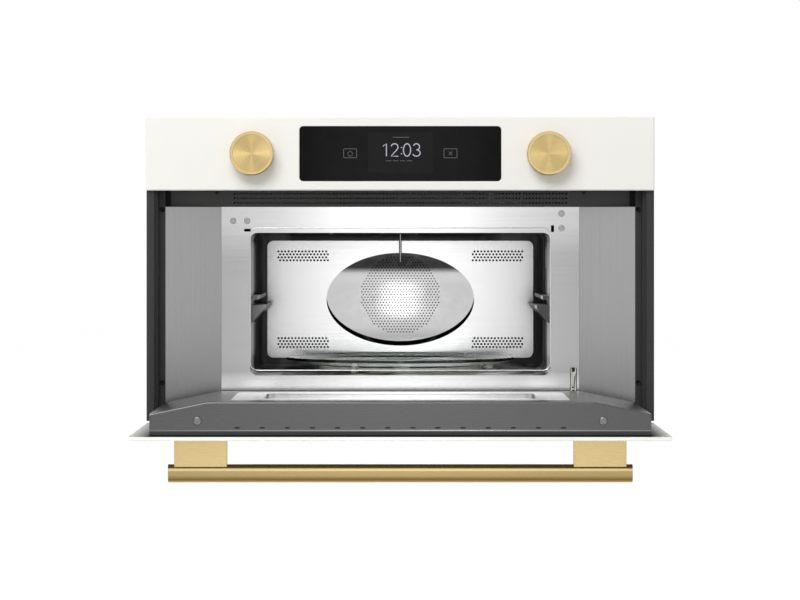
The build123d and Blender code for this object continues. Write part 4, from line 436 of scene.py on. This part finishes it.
# Brushed metals: colour, grain for each axis, roughness, contrast and, where it isn't the usual one, lift
BRUSHED = {
    "brass": (srgb(194, 171, 123), (5.0, 2600.0, 2600.0), 0.27, 0.025, 0.000004),
    "wing_steel": (grey(149), (2000.0, 2000.0, 3.0), 0.3, 0.015, 0.000002),
    "back_steel": (grey(190), (3.0, 1500.0, 1500.0), 0.16, 0.012, 0.000002),
    "liner_steel": (grey(87), (3.0, 1600.0, 1600.0), 0.27, 0.02, 0.000003),
    "sill_steel": (grey(200), (3.0, 900.0, 900.0), 0.12, 0.012),
    "hem_steel": (grey(150), (16.0, 500.0, 500.0), 0.3, 0.03),
    "bead_steel": (grey(206), (60.0, 60.0, 60.0), 0.2, 0.02),
    "screw_steel": (grey(188), (300.0, 300.0, 300.0), 0.16, 0.04),
    "frame_screw": (grey(142), (90.0, 90.0, 90.0), 0.22, 0.04),
    "edge_screw": (grey(112), (90.0, 90.0, 90.0), 0.3, 0.04),
    "heater_tube": (srgb(96, 92, 88), (200.0, 200.0, 200.0), 0.42, 0.12),
    "motor_can": (srgb(150, 150, 152), (60.0, 60.0, 60.0), 0.35, 0.06),
    "aluminium": (srgb(198, 200, 202), (30.0, 300.0, 300.0), 0.3, 0.05),
}

# Plastics and dark paints: colour, roughness and specular level
GRAINED = {
    "black_trim": (grey(44), 0.42, 0.25),
    "strip_black": (srgb(68, 68, 67), 0.42, 0.25),
    "clip_steel": (grey(22), 0.5, 0.2),
    "chamber_dark": (grey(30), 0.6, 0.1),
    "dark_plastic": (srgb(38, 38, 39), 0.5, 0.3),
    "light_plastic": (srgb(214, 212, 204), 0.45, 0.3),
    "seal_rubber": (grey(22), 0.7, 0.15),
}

# Metals with painted reflections banded by height: bands, grain, roughness and, where it isn't the usual one,
# lift
# Painted reflections on the handle bar: dark and light bands up its faces
BAR_REFLECTION_BANDS = (
    (-0.0796, srgb(110, 90, 50)),
    (-0.0782, srgb(176, 156, 108)),
    (-0.0766, srgb(104, 86, 48)),
    (-0.0735, srgb(128, 108, 64)),
    (-0.0700, srgb(158, 138, 94)),
    (-0.0640, srgb(164, 146, 100)),
    (-0.0625, srgb(208, 188, 140)),
    (-0.0606, srgb(202, 182, 132)),
    (-0.0594, srgb(98, 79, 42)),
    (-0.0556, srgb(92, 74, 38)),
)
# Painted reflection on the front frame: light at its foot, greyer above
FRAME_REFLECTION_BANDS = (
    (0.036, grey(240)),
    (0.062, grey(164)),
    (0.235, grey(164)),
    (0.285, grey(190)),
)
# Painted reflections on the fan cover's bowl, with a dark band near its top
BOWL_REFLECTION_BANDS = (
    (0.104, grey(186)),
    (0.118, grey(206)),
    (0.206, grey(202)),
    (0.215, grey(74)),
    (0.239, grey(112)),
)
BANDED = {
    "bar_brass": (BAR_REFLECTION_BANDS, (5.0, 2600.0, 2600.0), 0.27),
    "bright_steel": (FRAME_REFLECTION_BANDS, (3.0, 1800.0, 1800.0), 0.15, 0.000002),
    "bowl_steel": (BOWL_REFLECTION_BANDS, (60.0, 60.0, 60.0), 0.14),
}

MATERIALS = {
    "white_panel": white_enamel("white_panel", srgb(230, 229, 224)),
    "display_glass": display_black("display_glass"),
    "brass_disc": spun_brass("brass_disc", srgb(178, 157, 108), KNOB_X, CONTROL_Z),
    "cavity_steel": cavity_steel("cavity_steel"),
    "coated_glass": door_glass("coated_glass"),
    "glass_border_with_painted_shade": glass_border_with_painted_shade("glass_border_with_painted_shade"),
    "clear_glass": clear_glass("clear_glass", srgb(232, 240, 236)),
    "lamp_glass": clear_glass("lamp_glass", srgb(246, 240, 226), roughness=0.35),
    "zinc_sheet": zinc_sheet("zinc_sheet"),
    "board": circuit_board("board"),
    "copper": wound_copper("copper"),
    "door_screen": screen_mesh("door_screen"),
    "time_light": glowing("time_light", srgb(206, 203, 222)),
    "mark_light": glowing("mark_light", srgb(112, 112, 118)),
}
for maker, table in ((brushed_metal, BRUSHED), (grained_plastic, GRAINED), (banded_metal, BANDED)):
    for look_name, values in table.items():
        MATERIALS[look_name] = maker(look_name, *values)

# Nodes that don't take the look of their slot
NODE_LOOKS = {
    "back_wall": "back_steel",
    "fan_cover": "back_steel",
    "door_screen": "door_screen",
    "door_edge_screws": "edge_screw",
    "frame_screws": "frame_screw",
    "handle_bar": "bar_brass",
    "vent_strip": "strip_black",
    "choke_cover": "sill_steel",
    "fan_housing": "chamber_dark",
    "convection_fan": "chamber_dark",
}


def dress(thing, material):
    """Give an object one material."""
    thing.data.materials.clear()
    thing.data.materials.append(material)
    for polygon in thing.data.polygons:
        polygon.material_index = 0


slot_of = {entry["node"]: entry["material_slot"] for entry in frame["record"]["subparts"]}
for node_name, node in nodes.items():
    dress(node, MATERIALS[NODE_LOOKS.get(node_name, slot_of.get(node_name))])


def mesh_piece(name, verts, faces, body, material, smooth=True):
    """A new mesh piece that rides on a body."""
    mesh = bpy.data.meshes.new(name)
    mesh.from_pydata([tuple(vert) for vert in verts], [], faces)
    mesh.validate()
    for polygon in mesh.polygons:
        polygon.use_smooth = smooth
    thing = bpy.data.objects.new(name, mesh)
    bpy.context.scene.collection.objects.link(thing)
    dress(thing, material)
    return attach(thing, body)


def tube_rings(points, closed, radius, sides):
    """Rings of points round a run, square to it, one for each of its points."""
    rings = []
    for index, point in enumerate(points):
        before = points[index - 1] if closed or index else point
        after = points[(index + 1) % len(points)] if closed or index < len(points) - 1 else point
        along = (after - before).normalized()
        first = along.cross(Vector((0, 1, 0)))
        if first.length < 0.1:
            first = along.cross(Vector((1, 0, 0)))
        first.normalize()
        second = along.cross(first)
        turns = [tau * side / sides for side in range(sides)]
        rings += [point + radius * (cos(turn) * first + sin(turn) * second) for turn in turns]
    return rings


def tube(name, runs, radius, body, material, sides=8):
    """Round bars along runs of points; a run that ends where it began is a closed loop."""
    verts = []
    faces = []
    for run in runs:
        closed = (Vector(run[0]) - Vector(run[-1])).length < 1e-7
        points = [Vector(point) for point in (run[:-1] if closed else run)]
        count = len(points)
        start = len(verts)
        verts += tube_rings(points, closed, radius, sides)
        for index in range(count if closed else count - 1):
            here = start + index * sides
            there = start + (index + 1) % count * sides
            for side in range(sides):
                next_side = (side + 1) % sides
                faces.append((here + side, here + next_side, there + next_side, there + side))
        if not closed:
            last = start + (count - 1) * sides
            faces.append(tuple(range(start, start + sides)))
            faces.append(tuple(reversed(range(last, last + sides))))
    return mesh_piece(name, verts, faces, body, material)


# A block's faces, as numbers of its corners, which count up along Z first and X last
BLOCK_FACES = ((0, 1, 3, 2), (4, 6, 7, 5), (0, 4, 5, 1), (2, 3, 7, 6), (0, 2, 6, 4), (1, 5, 7, 3))


def blocks(name, spans, body, material):
    """Plain blocks, each given by its two ends along X, Y and Z."""
    verts = []
    faces = []
    for span_x, span_y, span_z in spans:
        start = len(verts)
        verts += [(x, y, z) for x in span_x for y in span_y for z in span_z]
        faces += [tuple(start + corner for corner in face) for face in BLOCK_FACES]
    return mesh_piece(name, verts, faces, body, material, smooth=False)


def rounded_loop(width, height, radius, centre, steps=8):
    """A closed run of points round a rectangle with round corners, upright and square to the room."""
    points = []
    for turn, (side, up) in enumerate(((1, 1), (-1, 1), (-1, -1), (1, -1))):
        corner_x = centre[0] + side * (width / 2 - radius)
        corner_z = centre[2] + up * (height / 2 - radius)
        for step in range(steps + 1):
            angle = (turn + step / steps) * pi / 2
            points.append((corner_x + radius * cos(angle), centre[1], corner_z + radius * sin(angle)))
    return points + points[:1]


# Fan cover: a smooth bowl with a round field of holes, at the middle of the shell's box with its pocket
BOWL_HALF_WIDTH = 0.120
BOWL_HALF_HEIGHT = 0.0755
BOWL_Z = (shell_low.z + shell_high.z) / 2
BOWL_RIM_Y = 0.1268
BOWL_SINK = 0.0078
RIM_POINTS = 144
HOLE_RADIUS = 0.0012
HOLE_SIDES = 8
HOLE_PITCH = 0.005
HOLE_ROW_PITCH = HOLE_PITCH * sqrt(0.75)
HOLE_FIELD_RADIUS = 0.064
HOLE_CORE = 0.93 * HOLE_RADIUS
LATTICE_ROWS = 18
LATTICE_COLUMNS = 26
LATTICE_EDGE = 0.95
CDT_EPSILON = 1e-7


def bowl_level(x, z):
    """How far a point lies out from the bowl's middle: 0 there, and 1 at the rim."""
    return (x / BOWL_HALF_WIDTH) ** 2 + (z / BOWL_HALF_HEIGHT) ** 2


def lattice_place(column, row):
    """A point of the lattice that the holes follow; every other row steps by half a pitch."""
    return (column + row % 2 / 2) * HOLE_PITCH, row * HOLE_ROW_PITCH


def oval(centre, half_width, half_height, count):
    """Points round an oval."""
    turns = [tau * index / count for index in range(count)]
    return [(centre[0] + half_width * cos(turn), centre[1] + half_height * sin(turn)) for turn in turns]


def in_hole(x, z, holes):
    """Whether a point lies in one of the holes."""
    row = round(z / HOLE_ROW_PITCH)
    column = round(x / HOLE_PITCH - row % 2 / 2)
    hole_x, hole_z = lattice_place(column, row)
    return (column, row) in holes and (x - hole_x) ** 2 + (z - hole_z) ** 2 < HOLE_CORE ** 2


def make_bowl():
    """The bowl as triangles between its rim, its holes and the lattice's other points."""
    holes = []
    others = []
    for row in range(-LATTICE_ROWS, LATTICE_ROWS + 1):
        for column in range(-LATTICE_COLUMNS, LATTICE_COLUMNS + 1):
            x, z = lattice_place(column, row)
            if x * x + z * z < HOLE_FIELD_RADIUS ** 2:
                holes.append((column, row))
            elif bowl_level(x, z) < LATTICE_EDGE:
                others.append((x, z))
    loops = [oval((0, 0), BOWL_HALF_WIDTH, BOWL_HALF_HEIGHT, RIM_POINTS)]
    loops += [oval(lattice_place(*hole), HOLE_RADIUS, HOLE_RADIUS, HOLE_SIDES) for hole in holes]
    points = []
    edges = []
    for loop in loops:
        start = len(points)
        points += loop
        edges += [(start + index, start + (index + 1) % len(loop)) for index in range(len(loop))]
    points += others
    flat_points = [Vector(point) for point in points]
    flat, _, triangles = delaunay_2d_cdt(flat_points, edges, [], 0, CDT_EPSILON)[:3]
    hole_set = set(holes)
    kept = []
    for triangle in triangles:
        middle_x = sum(flat[index].x for index in triangle) / 3
        middle_z = sum(flat[index].y for index in triangle) / 3
        if not in_hole(middle_x, middle_z, hole_set):
            kept.append(tuple(triangle))
    verts = []
    normals = []
    for x, z in flat:
        depth = BOWL_SINK * (1 - min(1.0, bowl_level(x, z)))
        verts.append((x, BOWL_RIM_Y + depth, BOWL_Z + z))
        slope_x = -2 * BOWL_SINK * x / BOWL_HALF_WIDTH ** 2
        slope_z = -2 * BOWL_SINK * z / BOWL_HALF_HEIGHT ** 2
        normals.append(Vector((slope_x, -1, slope_z)).normalized())
    bowl = mesh_piece("fan_cover_bowl", verts, kept, "housing", MATERIALS["bowl_steel"])
    bowl.data.normals_split_custom_set_from_vertices(normals)
    return bowl


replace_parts(make_bowl(), "fan_cover")

# A bright bead the size of the cavity's mouth, level with the bowl
MOUTH_WIDTH = 0.453
MOUTH_HEIGHT = 0.215
MOUTH_CORNER = 0.011
BEAD_Y = frame_low.y + 0.0006
BEAD_RADIUS = 0.0011
mouth = rounded_loop(MOUTH_WIDTH, MOUTH_HEIGHT, MOUTH_CORNER, (0, BEAD_Y, BOWL_Z))
tube("mouth_bead", [mouth], BEAD_RADIUS, "housing", MATERIALS["bead_steel"])

# The time on the display
MARK_Y = lens_low.y - 0.0001
MARK_SIDES = 6
DIGIT_WIDTH = 0.0108
DIGIT_HEIGHT = 0.0186
DIGIT_FOOT_Z = 0.3945 - DIGIT_HEIGHT / 2
DIGIT_STROKE = 0.00065


def arc(centre, radii, start, end, steps=12):
    """Points along part of an oval, in a digit's own unit box; the ends are in degrees."""
    angles = [radians(start + (end - start) * step / steps) for step in range(steps + 1)]
    return [(centre[0] + radii[0] * cos(angle), centre[1] + radii[1] * sin(angle)) for angle in angles]


# Strokes of each sign, in a box one wide and one high, and where each sign of the time begins
SIGNS = {
    "1": [[(0.25, 0.80), (0.72, 1.0), (0.72, 0.0)]],
    "2": [arc((0.5, 0.73), (0.48, 0.27), 165, -38) + [(0.02, 0.0), (1.0, 0.0)]],
    "0": [arc((0.5, 0.5), (0.5, 0.5), 0, 360, 28)],
    "3": [arc((0.48, 0.75), (0.44, 0.25), 160, -90), arc((0.48, 0.255), (0.52, 0.255), 90, -160)],
    ":": [[(0.42, 0.70), (0.58, 0.70)], [(0.42, 0.20), (0.58, 0.20)]],
}
TIME_SIGNS = (("1", -0.0285), ("2", -0.0140), (":", -0.0037), ("0", 0.0046), ("3", 0.0188))
time_runs = [
    [(left_x + u * DIGIT_WIDTH, MARK_Y, DIGIT_FOOT_Z + v * DIGIT_HEIGHT) for u, v in stroke]
    for sign, left_x in TIME_SIGNS
    for stroke in SIGNS[sign]
]
tube("clock_digits", time_runs, DIGIT_STROKE, "housing", MATERIALS["time_light"], MARK_SIDES)

# Plain marks on the display: a rule, a row of dashes, and a framed house and a framed cross
MARK_STROKE = 0.00035
RULE_Z = 0.4134
RULE_ENDS_X = (-0.0110, 0.0130)
DASH_COUNT = 4
DASH_START_X = -0.0213
DASH_PITCH = 0.0104
DASH_LENGTH = 0.0078
DASH_Z = 0.3783
PICTURE_X = 0.0748
PICTURE_Z = 0.3895
PICTURE_WIDTH = 0.0194
PICTURE_HEIGHT = 0.0134
CORNER_STEPS = 3
HOUSE_CORNER = 0.0015
HOUSE_ROOF = ((-0.0042, -0.0003), (0.0, 0.0037), (0.0042, -0.0003))
HOUSE_WALLS = ((-0.0030, -0.0007), (-0.0030, -0.0039), (0.0030, -0.0039), (0.0030, -0.0007))
CROSS_CORNER = 0.0008
CROSS_REACH = 0.0026
CROSS_LINES = (
    ((-CROSS_REACH, -CROSS_REACH), (CROSS_REACH, CROSS_REACH)),
    ((-CROSS_REACH, CROSS_REACH), (CROSS_REACH, -CROSS_REACH)),
)


def picture_frame(centre_x, corner):
    """The frame round a picture."""
    centre = (centre_x, MARK_Y, PICTURE_Z)
    return rounded_loop(PICTURE_WIDTH, PICTURE_HEIGHT, corner, centre, CORNER_STEPS)


def picture_lines(centre_x, lines):
    """A picture's lines, which are given from its centre."""
    return [[(centre_x + x, MARK_Y, PICTURE_Z + z) for x, z in line] for line in lines]


mark_runs = [[(x, MARK_Y, RULE_Z) for x in RULE_ENDS_X]]
mark_runs += [picture_frame(-PICTURE_X, HOUSE_CORNER), picture_frame(PICTURE_X, CROSS_CORNER)]
mark_runs += picture_lines(-PICTURE_X, (HOUSE_ROOF, HOUSE_WALLS)) + picture_lines(PICTURE_X, CROSS_LINES)
for index in range(DASH_COUNT):
    dash_x = DASH_START_X + index * DASH_PITCH
    mark_runs.append([(dash_x, MARK_Y, DASH_Z), (dash_x + DASH_LENGTH, MARK_Y, DASH_Z)])
tube("display_marks", mark_runs, MARK_STROKE, "housing", MATERIALS["mark_light"], MARK_SIDES)

# Dark clips on the vent strip
CLIPS_X = (-0.349, -0.2766, 0.2766, 0.349)
CLIP_Z = 0.3312
CLIP_HALF_WIDTH = 0.0022
CLIP_HALF_HEIGHT = 0.0018
CLIP_REACH = 0.003
clips = [
    (
        (x - CLIP_HALF_WIDTH, x + CLIP_HALF_WIDTH),
        (strip_low.y - CLIP_REACH, strip_low.y),
        (CLIP_Z - CLIP_HALF_HEIGHT, CLIP_Z + CLIP_HALF_HEIGHT),
    )
    for x in CLIPS_X
]
blocks("strip_clips", clips, "housing", MATERIALS["clip_steel"])

# Screws in the groove of the side trims
SCREWS_X = (-0.3575, 0.3575)
SCREWS_Z = (0.046, 0.306)
SCREW_ENDS_Y = (-0.2845, -0.2790)
SCREW_RADIUS = 0.0036
SCREW_SIDES = 16
trim_screws = [[(x, y, z) for y in SCREW_ENDS_Y] for x in SCREWS_X for z in SCREWS_Z]
tube("trim_screws", trim_screws, SCREW_RADIUS, "housing", MATERIALS["seal_rubber"], SCREW_SIDES)

# Dark strips that stop the light between the wings and the trims
LIGHT_STOPS_X = (-0.3515, 0.3515)
LIGHT_STOP_HALF_WIDTH = 0.006
LIGHT_STOP_ENDS_Y = (-0.2725, -0.2715)
LIGHT_STOP_ENDS_Z = (0.296, 0.336)
light_stops = [
    ((x - LIGHT_STOP_HALF_WIDTH, x + LIGHT_STOP_HALF_WIDTH), LIGHT_STOP_ENDS_Y, LIGHT_STOP_ENDS_Z)
    for x in LIGHT_STOPS_X
]
blocks("light_stops", light_stops, "housing", MATERIALS["seal_rubber"])

# The door liner's rolled hem
HEM_X = 0.3492
HEM_Y = liner_low.y + 0.0004
HEM_Z = -0.0050
HEM_RADIUS = 0.0009
hem = [(-HEM_X, HEM_Y, HEM_Z), (HEM_X, HEM_Y, HEM_Z)]
tube("liner_hem", [hem], HEM_RADIUS, "door", MATERIALS["hem_steel"])

# The border printed inside the door glass, seen beyond the liner's ends, which carries painted shade
BORDERS_X = (-0.3648, 0.3648)
BORDER_HALF_WIDTH = 0.0138
BORDER_ENDS_Y = (glass_low.y + 0.0012, glass_high.y - 0.002)
BORDER_ENDS_Z = (glass_high.z, glass_high.z + 0.00015)
borders = [
    ((x - BORDER_HALF_WIDTH, x + BORDER_HALF_WIDTH), BORDER_ENDS_Y, BORDER_ENDS_Z)
    for x in BORDERS_X
]
blocks("glass_border_with_painted_shade", borders, "door", MATERIALS["glass_border_with_painted_shade"])

# Stage
FLOOR_Z = -0.5
FLOOR_HALF = 40.0
FLOOR_GLOW = 0.55
FLOOR_CORNERS = ((-1, -1), (1, -1), (1, 1), (-1, 1))
floor_mesh = bpy.data.meshes.new("stage_floor")
floor_points = [(x * FLOOR_HALF, y * FLOOR_HALF, FLOOR_Z) for x, y in FLOOR_CORNERS]
floor_mesh.from_pydata(floor_points, [], [(0, 1, 2, 3)])
floor = bpy.data.objects.new("stage_floor", floor_mesh)
bpy.context.scene.collection.objects.link(floor)
dress(floor, pale_floor("stage_floor", FLOOR_GLOW))

# World: white where it is seen or mirrored, and dimmer as a light
WORLD_FILL = 0.55
world = bpy.data.worlds.new("studio")
bpy.context.scene.world = world
world.use_nodes = True
tree = world.node_tree
background = tree.nodes["Background"]
background.inputs["Color"].default_value = (1.0, 1.0, 1.0, 1.0)
path = tree.nodes.new("ShaderNodeLightPath")
seen = tree.nodes.new("ShaderNodeMath")
seen.operation = "ADD"
tree.links.new(path.outputs["Is Camera Ray"], seen.inputs[0])
tree.links.new(path.outputs["Is Glossy Ray"], seen.inputs[1])
through = tree.nodes.new("ShaderNodeMath")
through.operation = "ADD"
through.use_clamp = True
tree.links.new(seen.outputs[0], through.inputs[0])
tree.links.new(path.outputs["Is Transmission Ray"], through.inputs[1])
level = tree.nodes.new("ShaderNodeMapRange")
level.inputs["To Min"].default_value = WORLD_FILL
level.inputs["To Max"].default_value = 1.0
tree.links.new(through.outputs[0], level.inputs["Value"])
tree.links.new(level.outputs[0], background.inputs["Strength"])


def area_light(name, place, target, size, watts):
    """A soft rectangular light that points at a target."""
    light = bpy.data.lights.new(name, "AREA")
    light.shape = "RECTANGLE"
    light.size, light.size_y = size
    light.energy = watts
    thing = bpy.data.objects.new(name, light)
    thing.location = place
    thing.rotation_euler = (Vector(target) - Vector(place)).to_track_quat("-Z", "Y").to_euler()
    bpy.context.scene.collection.objects.link(thing)


area_light("key", place=(-0.9, -2.8, 2.4), target=(0, -0.3, 0.2), size=(2.2, 1.8), watts=85.0)
area_light("front_card", place=(0, -5.6, 0.30), target=(0, 0, 0.20), size=(0.5, 1.6), watts=5.0)
